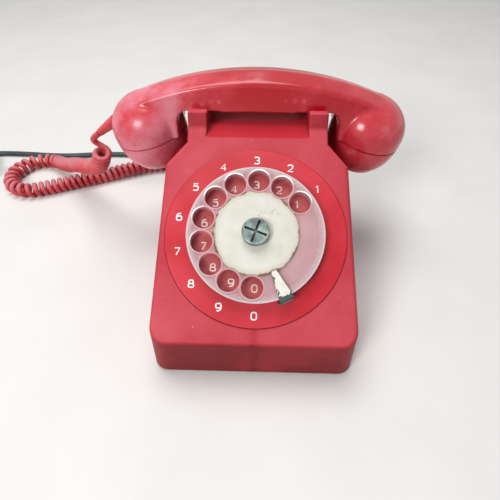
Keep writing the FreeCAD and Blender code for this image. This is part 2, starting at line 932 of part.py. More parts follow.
def dome_arc(radius, height):
    # From the rim to the crown of a spherical cap
    ball = (radius ** 2 + height ** 2) / (2 * height)
    half = math.asin(radius / ball) / 2
    middle = V(ball * math.sin(half), 0, height - ball * (1 - math.cos(half)))
    return Part.Arc(V(radius, 0, 0), middle, V(0, 0, height)).toShape()


def make_gong(side):
    inner_radius = gong_radius - gong_wall
    inner_height = gong_height - gong_wall
    profile = Part.Wire(Part.__sortEdges__([
        dome_arc(gong_radius, gong_height),
        Part.LineSegment(V(0, 0, gong_height), V(0, 0, inner_height)).toShape(),
        dome_arc(inner_radius, inner_height),
        Part.LineSegment(V(inner_radius, 0, 0), V(gong_radius, 0, 0)).toShape(),
    ]))
    bell = Part.Face(profile).revolve(V(0, 0, 0), V(0, 0, 1), 360)
    hole = gong_neck_radius + gong_hole_play
    bell = bell.cut(rod(hole, V(0, 0, gong_height - 3 * gong_wall), V(0, 0, 2 * gong_height)))
    return lifted(bell, side * gong_x, gong_y, gong_foot)


def make_gong_posts():
    posts = []
    seat = gong_foot + gong_height - gong_wall - gong_seat
    crown = gong_foot + gong_height + gong_hole_play
    for side in (-1, 1):
        x = side * gong_x
        post = rod(gong_post_radius, V(x, gong_y, plate_top), V(x, gong_y, seat))
        neck = rod(gong_neck_radius, V(x, gong_y, seat), V(x, gong_y, crown))
        head = rod(gong_nut_radius, V(x, gong_y, crown), V(x, gong_y, crown + gong_nut_height))
        posts.append(fuse_all([post, neck, head]))
    return Part.makeCompound(posts)


def make_ringer_frame():
    half = ringer_frame_half
    front = coil_y - ringer_frame_wall
    foot_end = clapper_y + ringer_frame_wall + ringer_foot
    base = box(-half, half, front, coil_y, plate_top, coil_z + ringer_frame_rise)
    foot = box(-half, half, front, foot_end, plate_top, plate_top + ringer_foot)
    post = rod(armature_pin, V(0, clapper_y, plate_top), V(0, clapper_y, coil_z + armature_height))
    return fuse_all([base, foot, post])


def make_ringer_coils():
    coils = []
    for side in (-1, 1):
        x = side * coil_x
        start = V(x, coil_y, coil_z)
        near = start + V(0, coil_cheek, 0)
        end = V(x, coil_y + coil_length, coil_z)
        tip = end - V(0, coil_core_proud, 0)
        far = tip - V(0, coil_cheek, 0)
        cheek_radius = coil_radius + coil_cheek_margin
        winding = rod(coil_radius, near, far)
        core = rod(coil_core_radius, start, end)
        coils.append(fuse_all([winding, core, rod(cheek_radius, start, near), rod(cheek_radius, far, tip)]))
    return Part.makeCompound(coils)


clapper_y = coil_y + coil_length + armature_gap + armature_thickness / 2


def make_armature():
    low = coil_z - armature_height / 2
    high = coil_z + armature_height / 2
    half = armature_thickness / 2
    bar = box(-armature_half, armature_half, clapper_y - half, clapper_y + half, low, high)
    hub = rod(armature_hub, V(0, clapper_y, low), V(0, clapper_y, high))
    bore = rod(armature_pin + bearing_gap, V(0, clapper_y, 0), V(0, clapper_y, 2 * high))
    return fuse_all([bar, hub]).cut(bore)


def make_clapper():
    stem = rod(hammer_stem, V(0, clapper_y, coil_z), V(0, gong_y, coil_z))
    tip = Part.makeSphere(hammer_radius, V(0, gong_y, coil_z))
    return stem.fuse(tip).cut(rod(armature_hub, V(0, clapper_y, 0), V(0, clapper_y, 2 * coil_z)))


def make_volume_knob():
    low = plate_z - knob_proud
    top = plate_top + knob_flange
    knob = rod(knob_radius, V(knob_x, knob_y, low), V(knob_x, knob_y, top))
    for k in range(knob_grip_count):
        x, y = polar(knob_radius + knob_grip_out, 360.0 * k / knob_grip_count)
        start = V(knob_x + x, knob_y + y, low - knob_proud)
        knob = knob.cut(rod(knob_grip_radius, start, V(start.x, start.y, plate_z)))
    flange = rod(knob_radius + knob_flange, V(knob_x, knob_y, plate_top + fit_gap), V(knob_x, knob_y, top))
    stem = rod(knob_stem_radius, V(knob_x, knob_y, top), V(knob_x, knob_y, top + knob_stem_length))
    return fuse_all([knob, flange, stem])


def make_volume_bracket():
    top = plate_top + bracket_rise - bracket_top_gap
    near = knob_y - bracket_half_depth
    far = knob_y + bracket_half_depth
    outside = box(knob_x - bracket_half, knob_x + bracket_half, near, far, plate_top, top)
    inner = bracket_half - bracket_leg
    room = box(knob_x - inner, knob_x + inner, near - wall, far + wall, plate_top, top - bracket_sheet)
    bore = rod(knob_stem_radius + bearing_gap, V(knob_x, knob_y, 0), V(knob_x, knob_y, 2 * top))
    return outside.cut(room).cut(bore)


# Speech parts on the plate

speech_y = front_y + speech_from_front


def make_capacitor():
    half = capacitor_length / 2
    can = box(capacitor_x - half, capacitor_x + half, speech_y, speech_y + capacitor_depth, plate_top,
              plate_top + capacitor_height)
    return can.makeFillet(capacitor_round, can.Edges)


def make_induction_coil():
    low = induction_x - induction_length / 2
    high = induction_x + induction_length / 2
    back = speech_y + induction_depth - induction_sheet
    top = plate_top + induction_height
    sole = box(low, high, speech_y, back + induction_sheet, plate_top, plate_top + induction_sheet)
    front_plate = box(low, high, speech_y, speech_y + induction_sheet, plate_top, top)
    back_plate = box(low, high, back, back + induction_sheet, plate_top, top)
    axis_z = plate_top + winding_rise
    winding_start = V(induction_x, speech_y + induction_sheet, axis_z)
    winding = rod(winding_radius, winding_start, V(induction_x, back, axis_z))
    return fuse_all([sole, front_plate, back_plate, winding])


def make_terminal_board():
    near = front_y + board_from_front
    far = near + board_depth
    low = plate_top + board_rise
    high = low + board_sheet
    pieces = [box(-board_half, board_half, near, far, low, high)]
    for side in (-1, 1):
        x = side * (board_half - board_leg_inset)
        for y in (near + board_leg_inset, far - board_leg_inset):
            pieces.append(rod(board_leg_radius, V(x, y, plate_top), V(x, y, low)))
    for i in range(4):
        for j in range(3):
            x = terminal_pitch_x * (i - 1.5)
            y = (near + far) / 2 + terminal_pitch_y * (j - 1)
            pieces.append(rod(terminal_radius, V(x, y, high), V(x, y, high + terminal_height)))
    return fuse_all(pieces)


# Handset: a hollow arched handle between two domed cups, with screwed caps

handle_centre = V(0, handset_y, handle_top - handle_arch)


def cup_frame(shape, side):
    placed = shape.copy()
    placed.rotate(V(0, 0, 0), V(0, 1, 0), side * cup_tilt)
    placed.translate(V(side * handset_half_length, handset_y, seam_height))
    return placed


def cup_form(inset):
    # A full bowl turned about the cup's axis, standing on the seam
    size = (cup_radius - inset) / cup_radius

    def spot(radius, height):
        return V(size * radius, 0, size * height)

    ball = (cup_shoulder_radius ** 2 + cup_shoulder_drop ** 2) / (2 * cup_shoulder_drop)
    half = math.asin(cup_shoulder_radius / ball) / 2
    crown = spot(ball * math.sin(half), cup_top - ball * (1 - math.cos(half)))
    outline = Part.Wire([
        Part.LineSegment(V(0, 0, 0), spot(cup_radius, 0)).toShape(),
        Part.LineSegment(spot(cup_radius, 0), spot(cup_radius, cup_wall_height)).toShape(),
        Part.Arc(spot(cup_radius, cup_wall_height), spot(cup_bow_radius, cup_bow_height),
                 spot(cup_shoulder_radius, cup_shoulder_height)).toShape(),
        Part.Arc(spot(cup_shoulder_radius, cup_shoulder_height), crown, spot(0, cup_top)).toShape(),
        Part.LineSegment(spot(0, cup_top), V(0, 0, 0)).toShape(),
    ])
    return Part.Face(outline).revolve(V(0, 0, 0), V(0, 0, 1), 360)


def handle_profile_prism():
    far = handset_half_length + 2 * cup_radius
    arc_r = underside_reach - underside_half
    high = 2 * handle_top
    low = underside_height - underside_sink
    points = [V(-underside_reach, 0, low), V(-underside_reach, 0, underside_height - arc_r)]
    edges = []
    q = math.sqrt(0.5)
    left_c = V(-underside_half, 0, underside_height - arc_r)
    right_c = V(underside_half, 0, underside_height - arc_r)
    edges.append(Part.LineSegment(V(-far, 0, low), points[0]).toShape())
    edges.append(Part.LineSegment(points[0], points[1]).toShape())
    edges.append(Part.Arc(points[1], left_c + V(-q * arc_r, 0, q * arc_r), left_c + V(0, 0, arc_r)).toShape())
    edges.append(Part.LineSegment(left_c + V(0, 0, arc_r), right_c + V(0, 0, arc_r)).toShape())
    right_middle = right_c + V(q * arc_r, 0, q * arc_r)
    edges.append(Part.Arc(right_c + V(0, 0, arc_r), right_middle, right_c + V(arc_r, 0, 0)).toShape())
    edges.append(Part.LineSegment(right_c + V(arc_r, 0, 0), V(underside_reach, 0, low)).toShape())
    edges.append(Part.LineSegment(V(underside_reach, 0, low), V(far, 0, low)).toShape())
    edges.append(Part.LineSegment(V(far, 0, low), V(far, 0, high)).toShape())
    edges.append(Part.LineSegment(V(far, 0, high), V(-far, 0, high)).toShape())
    edges.append(Part.LineSegment(V(-far, 0, high), V(-far, 0, low)).toShape())
    face = Part.Face(Part.Wire(edges))
    half = 2 * cup_radius
    face.translate(V(0, handset_y - half, 0))
    return face.extrude(V(0, 2 * half, 0))


def swept_section(corners, reach):
    points = [V(0, handset_y + y, handle_top + z) for y, z in corners]
    face = Part.Face(Part.makePolygon(points + points[:1]))
    angle = math.degrees(math.asin(reach / handle_arch))
    face.rotate(handle_centre, V(0, 1, 0), -angle)
    return face.revolve(handle_centre, V(0, 1, 0), 2 * angle)


def make_handset_body():
    deep = 2 * underside_sink
    flare = (handle_half_width - facet_half_width) / (handle_side_drop - facet_drop)
    low_half = facet_half_width + flare * (deep - facet_drop)
    section = [
        (0, 0), (facet_half_width, -facet_drop), (low_half, -deep), (-low_half, -deep),
        (-facet_half_width, -facet_drop),
    ]
    handle = swept_section(section, handset_half_length + handle_overlap)
    brow = handle_top - 2 * facet_drop
    creases = [e for e in handle.Edges if e.Length > handset_half_length and e.BoundBox.ZMax > brow]
    handle = handle.makeFillet(crease_round, creases).common(handle_profile_prism())
    cups = [cup_frame(cup_form(0.0), side) for side in (-1, 1)]
    span = 2 * cup_radius
    for side in (-1, 1):
        handle = handle.cut(cup_frame(box(-span, span, -span, span, -span, 0), side))
    shell = fuse_all([handle] + cups)
    inner = facet_half_width - shell_wall
    top = -wire_channel_drop
    low = top - wire_channel_height
    channel_corners = [(-inner, top), (inner, top), (inner, low), (-inner, low)]
    hollows = [swept_section(channel_corners, handset_half_length - wire_channel_end)]
    for side in (-1, 1):
        hollows.append(cup_frame(cup_form(shell_wall), side))
    for hollow in hollows:
        shell = shell.cut(hollow)
    return shell


def make_cap(side):
    top = -seam_gap
    rim_edge = V(cup_radius - cap_step, 0, top)
    waist = V(cup_radius - cap_waist, 0, -cap_depth / 2)
    corner = V(cap_rim, 0, -cap_depth + cap_floor)
    bend = V(cap_rim - cap_bend_in, 0, -cap_depth + cap_bend_up)
    face_edge = V(cap_face, 0, -cap_depth)
    face_centre = V(0, 0, -cap_depth)
    outer = Part.Wire([
        Part.LineSegment(V(0, 0, top), rim_edge).toShape(),
        Part.Arc(rim_edge, waist, corner).toShape(),
        Part.Arc(corner, bend, face_edge).toShape(),
        Part.LineSegment(face_edge, face_centre).toShape(),
        Part.LineSegment(face_centre, V(0, 0, top)).toShape(),
    ])
    cap = Part.Face(outer).revolve(V(0, 0, 0), V(0, 0, 1), 360)
    mouth = cup_radius - shell_wall - cap_well_margin
    well = cone(cap_face, mouth, V(0, 0, -cap_depth + cap_floor), V(0, 0, top + 0.001))
    cap = cap.cut(well)
    places = [(0.0, 0.0)]
    places += [polar(cap_hole_circle, 360.0 * k / cap_hole_count) for k in range(cap_hole_count)]
    for x, y in places:
        cap = cap.cut(disc(cap_hole_radius, -cap_depth - shell_wall, -cap_depth + 2 * shell_wall, x, y))
    return cup_frame(cap, side)


def make_capsule(side, radius, height):
    low = -cap_depth + capsule_rise
    top = low + height
    lip = disc(radius + capsule_lip, top, top + capsule_lip_height)
    return cup_frame(disc(radius, low, top).fuse(lip).removeSplitter(), side)


# Cords

def corner_arcs(points):
    # Straight runs joined by tangent arcs, each arc as large as its two runs allow
    pieces = []
    start = points[0]
    for i in range(1, len(points) - 1):
        before = points[i] - points[i - 1]
        after = points[i + 1] - points[i]
        turn = before.getAngle(after)
        reach = 0.45 * min(before.Length, after.Length)
        radius = reach / math.tan(turn / 2)
        u = V(before).normalize()
        w = V(after).normalize()
        enter = points[i] - u * reach
        leave = points[i] + w * reach
        inward = (w - u).normalize()
        centre = points[i] + inward * (radius / math.cos(turn / 2))
        axis = u.cross(w).normalize()
        pieces.append(("line", start, enter))
        pieces.append(("arc", enter, leave, centre, axis, turn, radius))
        start = leave
    pieces.append(("line", start, points[-1]))
    return pieces


def turned(vector, axis, angle):
    return FreeCAD.Rotation(axis, math.degrees(angle)).multVec(vector)


def piece_length(piece):
    if piece[0] == "line":
        return (piece[2] - piece[1]).Length
    return piece[5] * piece[6]


def path_edges(pieces):
    edges = []
    for piece in pieces:
        if piece[0] == "line":
            edges.append(Part.LineSegment(piece[1], piece[2]).toShape())
        else:
            middle = piece[3] + turned(piece[1] - piece[3], piece[4], piece[5] / 2)
            edges.append(Part.Arc(piece[1], middle, piece[2]).toShape())
    return edges


def tube_along(edges, radius):
    start = edges[0].valueAt(edges[0].FirstParameter)
    tangent = edges[0].tangentAt(edges[0].FirstParameter)
    ring = Part.Wire(Part.Circle(start, tangent, radius).toShape())
    return Part.Wire(edges).makePipeShell([ring], True, False)


def report_tube(name, solid, edges, radius, pieces=None):
    length = sum(e.Length for e in edges)
    ratio = solid.Volume / (math.pi * radius ** 2 * length)
    print(name, "length", round(length, 1), "volume ratio", round(ratio, 4), solid.isValid())
    if pieces:
        print("  radii", [round(p[6], 1) for p in pieces if p[0] == "arc"])


def biarc(p0, t0, p1, t1):
    # Two arcs that leave p0 along t0 and reach p1 along t1
    v = p1 - p0
    t = t0 + t1
    a = 2 * (1 - t0.dot(t1))
    b = v.dot(t)
    c = v.dot(v)
    d = c / (2 * b) if abs(a) < 1e-9 else (-b + math.sqrt(b * b + a * c)) / a
    joint = (p0 + t0 * d + p1 - t1 * d) * 0.5
    return [arc_from(p0, t0, joint), arc_from(p1, t1 * -1, joint)]


def arc_from(start, tangent, end):
    chord = end - start
    angle = tangent.getAngle(chord)
    if angle < 1e-5:
        return Part.LineSegment(start, end).toShape()
    side = (chord - tangent * chord.dot(tangent)).normalize()
    radius = chord.Length / (2 * math.sin(angle))
    centre = start + side * radius
    middle = centre + (tangent * math.sin(angle) - side * math.cos(angle)) * radius
    return Part.Arc(start, middle, end).toShape()


class Guide:
    # Place, direction and a steady side vector at any distance along a cord's route

    def __init__(self, pieces):
        self.stretches = []
        travelled = 0.0
        direction = (pieces[0][2] - pieces[0][1]).normalize()
        side = direction.cross(V(0, 0, 1)).normalize()
        for piece in pieces:
            length = piece_length(piece)
            self.stretches.append((travelled, length, piece, V(side)))
            if piece[0] == "arc":
                side = turned(side, piece[4], piece[5])
            travelled += length
        self.length = travelled

    def at(self, distance):
        for start, length, piece, side in self.stretches:
            if distance <= start + length or piece is self.stretches[-1][2]:
                break
        along = distance - start
        if piece[0] == "line":
            direction = (piece[2] - piece[1]).normalize()
            return piece[1] + direction * along, direction, side
        angle = along / piece[6]
        spoke = turned(piece[1] - piece[3], piece[4], angle)
        direction = piece[4].cross(spoke).normalize()
        return piece[3] + spoke, direction, turned(side, piece[4], angle)


def least_gap(points, wire, apart):
    # Nearest approach of a centre line to itself, past the neighbours along it
    nearest = 1e9
    size = 3 * wire
    cells = {}
    for i, p in enumerate(points):
        key = (int(p.x // size), int(p.y // size), int(p.z // size))
        for dx in (-1, 0, 1):
            for dy in (-1, 0, 1):
                for dz in (-1, 0, 1):
                    for j in cells.get((key[0] + dx, key[1] + dy, key[2] + dz), ()):
                        if i - j > apart:
                            nearest = min(nearest, (p - points[j]).Length)
        cells.setdefault(key, []).append(i)
    return nearest - wire


curl_gland_tip = V(curl_gland_x, wall_back(curl_gland_z) + gland_out, curl_gland_z)
line_gland_tip = V(line_gland_x, wall_back(line_gland_z) + gland_out, line_gland_z)
sleeve_root = V(-107.5, handset_y - 3.4, 107.6)
sleeve_tip = V(-122.0, handset_y - 6.0, 98.0)
sleeve_line = (sleeve_tip - sleeve_root).normalize()

curl_start = sleeve_tip + sleeve_line * curl_gap
curl_route = [
    curl_start,
    V(-128.0, 49.3, 90.0), V(-133.0, 51.5, 79.5), V(-138.5, 57.0, 68.0), V(-147.0, 67.5, 54.5),
    V(-162.0, 84.5, 41.5), V(-182.0, 104.0, 30.0), V(-203.0, 124.5, curl_rest + 6.5),
    V(-222.5, 140.8, curl_rest), V(-241.5, 141.4, curl_rest), V(-256.4, 129.8, curl_rest),
    V(-260.3, 111.2, curl_rest), V(-251.4, 94.5, curl_rest), V(-233.9, 87.4, curl_rest),
    V(-212.0, 95.5, curl_rest), V(-187.0, 106.0, curl_rest), V(-163.0, 116.0, curl_rest),
    V(-141.0, 127.5, curl_rest), V(-119.0, 137.0, curl_rest), V(-97.0, 141.0, curl_rest),
    V(-75.0, 139.5, curl_rest), V(-57.5, 133.0, curl_rest + 1.5), V(-45.5, 123.5, curl_rest + 5.0),
    V(curl_gland_tip.x, 113.5, curl_gland_tip.z), curl_gland_tip,
]

line_rest = line_diameter / 2
line_route = [
    line_gland_tip,
    V(line_gland_tip.x, 119.0, line_gland_tip.z), V(-14.0, 134.0, 9.5), V(-27.0, 147.0, 5.0),
    V(-48.0, 155.0, line_rest), V(-76.0, 157.5, line_rest), V(-104.0, 158.5, line_rest),
    V(-131.0, 161.5, line_rest), V(-158.0, 163.5, line_rest), V(-185.0, 162.0, line_rest),
    V(-211.0, 158.5, line_rest), V(-238.0, 158.0, line_rest), V(-265.0, 160.5, line_rest),
    V(-290.0, 161.0, line_rest),
]


def curl_phase_pitch(guide, distance):
    # Curls stand further apart in a bend, so that they keep clear on its inside
    place, direction, side = guide.at(distance)
    hang = min(1.0, max(0.0, place.z / hang_height - 1))
    pitch = curl_pitch_floor + (curl_pitch_hang - curl_pitch_floor) * hang
    opening = 0.0
    for start, length, piece, side in guide.stretches:
        away = max(start - distance, distance - start - length, 0.0)
        if piece[0] == "arc" and away < curl_wire:
            opening = max(opening, curl_radius / piece[6])
    return pitch / (1 - opening)


def plain_stretch(guide, start, end):
    # The part of a cord's own path between two distances
    edges = []
    for begin, length, piece, side in guide.stretches:
        a = max(start, begin)
        b = min(end, begin + length)
        if b - a < 1e-6:
            continue
        if piece[0] == "line":
            edges.append(Part.LineSegment(guide.at(a)[0], guide.at(b)[0]).toShape())
        else:
            edges.append(Part.Arc(guide.at(a)[0], guide.at((a + b) / 2)[0], guide.at(b)[0]).toShape())
    return edges


def make_curly_cord():
    pieces = corner_arcs(curl_route)
    guide = Guide(pieces)
    lead = curl_lead
    last = guide.length - curl_tail
    count = 0
    distance = lead
    while distance < last:
        distance += curl_phase_pitch(guide, distance) / 4
        count += 1
    count -= count % 4
    marks = [lead]
    for k in range(count):
        marks.append(marks[-1] + curl_phase_pitch(guide, marks[-1]) / 4)
    stretch = (last - lead) / (marks[-1] - lead)
    marks = [lead + (m - lead) * stretch for m in marks]

    def swell(distance):
        near = min(distance - lead, last - distance) / curl_ramp
        t = min(1.0, max(0.0, near))
        return t * t * (3 - 2 * t)

    def spot(position):
        k = min(count - 1, max(0, int(position)))
        distance = marks[k] + (marks[k + 1] - marks[k]) * (position - k)
        place, direction, side = guide.at(distance)
        around = turned(side, direction, position * math.pi / 2)
        return place + around * (curl_radius * swell(distance))

    def heading(position):
        step = 0.01
        if position <= 0:
            return guide.at(lead)[1]
        if position >= count:
            return guide.at(last)[1]
        return (spot(position + step) - spot(position - step)).normalize()

    edges = plain_stretch(guide, 0.0, lead)
    for k in range(count):
        first, second = biarc(spot(k), heading(k), spot(k + 1), heading(k + 1))
        edges.extend((first, second))
    edges.extend(plain_stretch(guide, last, guide.length))
    dense = [spot(0.1 * k) for k in range(10 * count + 1)]
    print("curls", count / 4, "least gap", round(least_gap(dense, curl_wire, 34), 2))
    edges = Part.__sortEdges__(edges)
    solid = tube_along(edges, curl_wire / 2)
    report_tube("handset cord", solid, edges, curl_wire / 2, pieces)
    return solid


coil_total = 2 * coil_turns + coil_climb


def coil_point(turn):
    if turn <= coil_turns:
        radius = coil_inner + coil_step * (coil_turns - turn)
        z = line_rest
    elif turn <= coil_turns + coil_climb:
        t = (turn - coil_turns) / coil_climb
        radius = coil_inner - coil_step / (2 * math.pi) * math.sin(math.pi * t)
        z = line_rest + coil_step * t * t * (3 - 2 * t)
    else:
        radius = coil_inner + coil_step * (turn - coil_turns - coil_climb)
        z = line_rest + coil_step
    x, y = polar(radius, coil_start_angle + 360.0 * turn)
    return V(coil_x_centre + x, coil_y_centre + y, z)


def coil_heading(turn):
    step = 0.002
    a = max(0.0, turn - step)
    b = min(coil_total, turn + step)
    return (coil_point(b) - coil_point(a)).normalize()


def make_line_coil():
    count = int(round(coil_total * 4))
    first = coil_point(0)
    end = coil_point(coil_total)
    edges = [Part.LineSegment(first - coil_heading(0) * line_diameter, first).toShape()]
    for k in range(count):
        a = coil_total * k / count
        b = coil_total * (k + 1) / count
        edges.extend(biarc(coil_point(a), coil_heading(a), coil_point(b), coil_heading(b)))
    edges.append(Part.LineSegment(end, end + coil_heading(coil_total) * plug_lead).toShape())
    samples = 120 * count
    dense = [coil_point(coil_total * k / samples) for k in range(0, samples + 1, 4)]
    print("coil least gap", round(least_gap(dense, line_diameter, 60), 2))
    edges = Part.__sortEdges__(edges)
    solid = tube_along(edges, line_diameter / 2)
    report_tube("line coil", solid, edges, line_diameter / 2)
    return solid


def make_line_cord():
    join = coil_point(0) - coil_heading(0) * line_diameter
    points = line_route + [join - coil_heading(0) * coil_approach, join]
    pieces = corner_arcs(points)
    edges = path_edges(pieces)
    solid = tube_along(edges, line_diameter / 2)
    report_tube("line cord", solid, edges, line_diameter / 2, pieces)
    return solid


def make_gland(tip, wire_radius):
    x = tip.x
    z = tip.z
    wall_y = tip.y - gland_out
    nut_y = wall_y - wall - gland_seat
    flange_y = wall_y + gland_seat
    taper_y = flange_y + gland_flange
    nut = rod(gland_radius + gland_flange, V(x, nut_y - gland_nut, z), V(x, nut_y, z))
    neck = rod(gland_radius - bearing_gap, V(x, nut_y, z), V(x, flange_y, z))
    flange = rod(gland_radius + gland_flange_margin, V(x, flange_y, z), V(x, taper_y, z))
    taper = cone(gland_radius - gland_taper, wire_radius + gland_lip, V(x, taper_y, z), tip)
    return fuse_all([nut, neck, flange, taper])


def make_sleeve():
    neck = sleeve_root + sleeve_line * sleeve_neck
    root = cone(sleeve_radius, sleeve_neck_radius, sleeve_root, neck)
    taper = cone(sleeve_neck_radius, curl_wire / 2 + sleeve_lip, neck, sleeve_tip)
    return fuse_all([root, taper]).cut(cup_frame(cup_form(0.0), -1))


def plug_frame(shape):
    heading = coil_heading(coil_total)
    start = coil_point(coil_total) + heading * plug_lead
    placed = shape.copy()
    placed.rotate(V(0, 0, 0), V(0, 0, 1), math.degrees(math.atan2(heading.y, heading.x)))
    placed.translate(start)
    return placed


def make_plug_body():
    half = plug_width / 2
    low = -plug_height / 2
    neck = cone(line_diameter / 2 + plug_neck_lip, plug_neck_radius, V(0, 0, 0), V(plug_neck, 0, 0))
    block = box(plug_neck, plug_neck + plug_length, -half, half, low, -low)
    block = block.makeFillet(plug_round, block.Edges)
    return plug_frame(fuse_all([block, neck]))


def make_plug_pins():
    start = plug_neck + plug_length
    pins = []
    for y in (-pin_spacing / 2, pin_spacing / 2):
        pin = rod(pin_radius, V(start, y, 0), V(start + pin_length, y, 0))
        tip = [e for e in pin.Edges if e.BoundBox.XMin > start + pin_length / 2]
        pins.append(pin.makeFillet(pin_round, tip))
    return plug_frame(Part.makeCompound(pins))


def make_tie():
    # A flat band round the bundle of turns on one side of the coil
    inner = coil_inner - line_rest - tie_clearance
    outer = coil_inner + coil_step * coil_turns + line_rest + tie_clearance
    roof = line_diameter + coil_step + tie_clearance / 2
    half = tie_half_width
    band = box(inner - tie_band, outer + tie_band, -half, half, 0.0, roof + tie_band)
    tie = band.cut(box(inner, outer, -2 * half, 2 * half, -tie_band, roof))
    tie.translate(V(coil_x_centre, coil_y_centre, 0))
    return tie


def build():
    os.makedirs("parts", exist_ok=True)
    save("base_plate", make_base_plate())
    save("rubber_feet", make_feet())
    save("base_screws", make_base_screws())
    save("housing", make_housing())
    save("number_plate", on_dial(make_number_plate()))
    save("finger_stop", on_dial(make_finger_stop()))
    save("finger_wheel", on_dial(make_finger_wheel()))
    save("card", on_dial(make_card()))
    save("centre_screw", on_dial(make_centre_screw()))
    save("dial_shaft", on_dial(make_shaft()))
    save("main_gear", on_dial(make_main_gear()))
    save("dial_frame", on_dial(make_dial_frame()))
    save("dial_screws", on_dial(make_dial_screws()))
    save("dial_spring", on_dial(make_dial_spring()))
    save("impulse_arbor", on_dial(make_impulse_arbor()))
    save("impulse_wheel", on_dial(make_impulse_wheel()))
    save("impulse_cam", on_dial(make_impulse_cam()))
    save("impulse_contacts", on_dial(make_impulse_contacts()))
    save("governor_arbor", on_dial(make_governor_arbor()))
    save("governor_weights", on_dial(make_governor_weights()))
    save("governor_cup", on_dial(make_governor_cup()))
    save("hook_plunger_left", make_plunger(-1))
    save("hook_plunger_right", make_plunger(1))
    save("hook_yoke", make_yoke())
    save("hook_contacts", make_hook_contacts())
    save("gong_left", make_gong(-1))
    save("gong_right", make_gong(1))
    save("gong_posts", make_gong_posts())
    save("ringer_frame", make_ringer_frame())
    save("ringer_coils", make_ringer_coils())
    save("armature", make_armature())
    save("clapper", make_clapper())
    save("volume_knob", make_volume_knob())
    save("volume_bracket", make_volume_bracket())
    save("capacitor", make_capacitor())
    save("induction_coil", make_induction_coil())
    save("terminal_board", make_terminal_board())
    save("handset_body", make_handset_body())
    save("ear_cap", make_cap(1))
    save("mouth_cap", make_cap(-1))
    save("receiver_capsule", make_capsule(1, receiver_radius, receiver_height))
    save("transmitter_capsule", make_capsule(-1, transmitter_radius, transmitter_height))
    save("handset_sleeve", make_sleeve())
    save("curl_gland", make_gland(curl_gland_tip, curl_wire / 2))
    save("line_gland", make_gland(line_gland_tip, line_diameter / 2))
    save("line_cord", make_line_cord())
    save("line_cord_coil", make_line_coil())
    save("cord_tie", make_tie())
    save("plug_body", make_plug_body())
    save("plug_pins", make_plug_pins())
    save("handset_cord", make_curly_cord())


build()
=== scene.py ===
import math

import bmesh
import bpy
from mathutils import Matrix, Vector


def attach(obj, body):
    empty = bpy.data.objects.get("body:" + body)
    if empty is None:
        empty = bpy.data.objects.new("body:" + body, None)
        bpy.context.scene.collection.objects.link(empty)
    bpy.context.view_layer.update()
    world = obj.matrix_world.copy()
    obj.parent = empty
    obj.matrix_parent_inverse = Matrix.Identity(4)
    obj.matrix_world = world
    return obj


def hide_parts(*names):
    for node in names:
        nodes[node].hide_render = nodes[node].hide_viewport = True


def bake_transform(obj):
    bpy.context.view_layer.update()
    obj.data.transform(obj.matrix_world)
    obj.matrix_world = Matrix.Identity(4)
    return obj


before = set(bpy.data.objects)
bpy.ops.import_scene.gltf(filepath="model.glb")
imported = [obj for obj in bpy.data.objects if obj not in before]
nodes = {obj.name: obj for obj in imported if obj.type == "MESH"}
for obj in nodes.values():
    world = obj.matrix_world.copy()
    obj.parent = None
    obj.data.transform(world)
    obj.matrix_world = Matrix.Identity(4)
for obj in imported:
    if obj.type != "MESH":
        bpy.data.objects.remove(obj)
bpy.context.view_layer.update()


# The base: a pressed steel plate, sprayed grey, on four moulded rubber feet.
# Four slotted screws come up through the plate and hold the shell down on its bosses.

def linear(colour):
    """An sRGB hex colour as linear red, green, blue and alpha."""
    parts = [int(colour[i:i + 2], 16) / 255 for i in (1, 3, 5)]
    return tuple(p / 12.92 if p <= 0.04045 else ((p + 0.055) / 1.055) ** 2.4 for p in parts) + (1.0,)


def add(tree, kind, inputs=None, stops=(), **settings):
    """Adds one shader node with its settings, its input values or links, and a colour ramp's stops."""
    made = tree.nodes.new("ShaderNode" + kind)
    for name, value in settings.items():
        setattr(made, name, value)
    for name, value in (inputs or {}).items():
        if isinstance(value, bpy.types.NodeSocket):
            tree.links.new(value, made.inputs[name])
        else:
            made.inputs[name].default_value = value
    for i, (place, colour) in enumerate(stops):
        ramp = made.color_ramp.elements
        stop = ramp[i] if i < 2 else ramp.new(place)
        stop.position = place
        stop.color = linear(colour)
    return made


def finish(name, **values):
    """A new material with plain values set, its node tree, its Principled shader and the surface's place."""
    material = bpy.data.materials.new(name)
    material.use_nodes = True
    tree = material.node_tree
    shader = tree.nodes["Principled BSDF"]
    for socket, value in values.items():
        shader.inputs[socket.replace("_", " ")].default_value = value
    place = add(tree, "TexCoord").outputs["Object"]
    return material, tree, shader, place


def mottled(name, dark, light, size_mm, grit_mm, rough, relief_mm, **values):
    """A finish whose colour drifts over size_mm and whose surface is grainy at grit_mm."""
    material, tree, shader, place = finish(name, **values)
    drift = add(tree, "TexNoise", {"Vector": place, "Scale": 1000 / size_mm, "Detail": 5.0})
    colour = add(tree, "ValToRGB", {"Fac": drift.outputs["Fac"]}, [(0.35, dark), (0.65, light)])
    grit = add(tree, "TexNoise", {"Vector": place, "Scale": 1000 / grit_mm, "Detail": 3.0})
    gloss = add(tree, "MapRange", {"Value": grit.outputs["Fac"], "From Min": 0.3, "From Max": 0.7,
                                   "To Min": rough[0], "To Max": rough[1]})
    relief = add(tree, "Bump", {"Height": grit.outputs["Fac"], "Strength": 0.5, "Distance": relief_mm / 1000})
    tree.links.new(colour.outputs["Color"], shader.inputs["Base Color"])
    tree.links.new(gloss.outputs["Result"], shader.inputs["Roughness"])
    tree.links.new(relief.outputs["Normal"], shader.inputs["Normal"])
    return material


def dress(material, *names):
    """Gives the named solids a finish."""
    for name in names:
        nodes[name].data.materials.clear()
        nodes[name].data.materials.append(material)


# Sprayed grey lacquer: an even satin grey with a fine orange peel
lacquered_steel = mottled("grey_lacquer_on_steel", "#5F6463", "#747A78", 30.0, 1.2, (0.38, 0.52), 0.03)
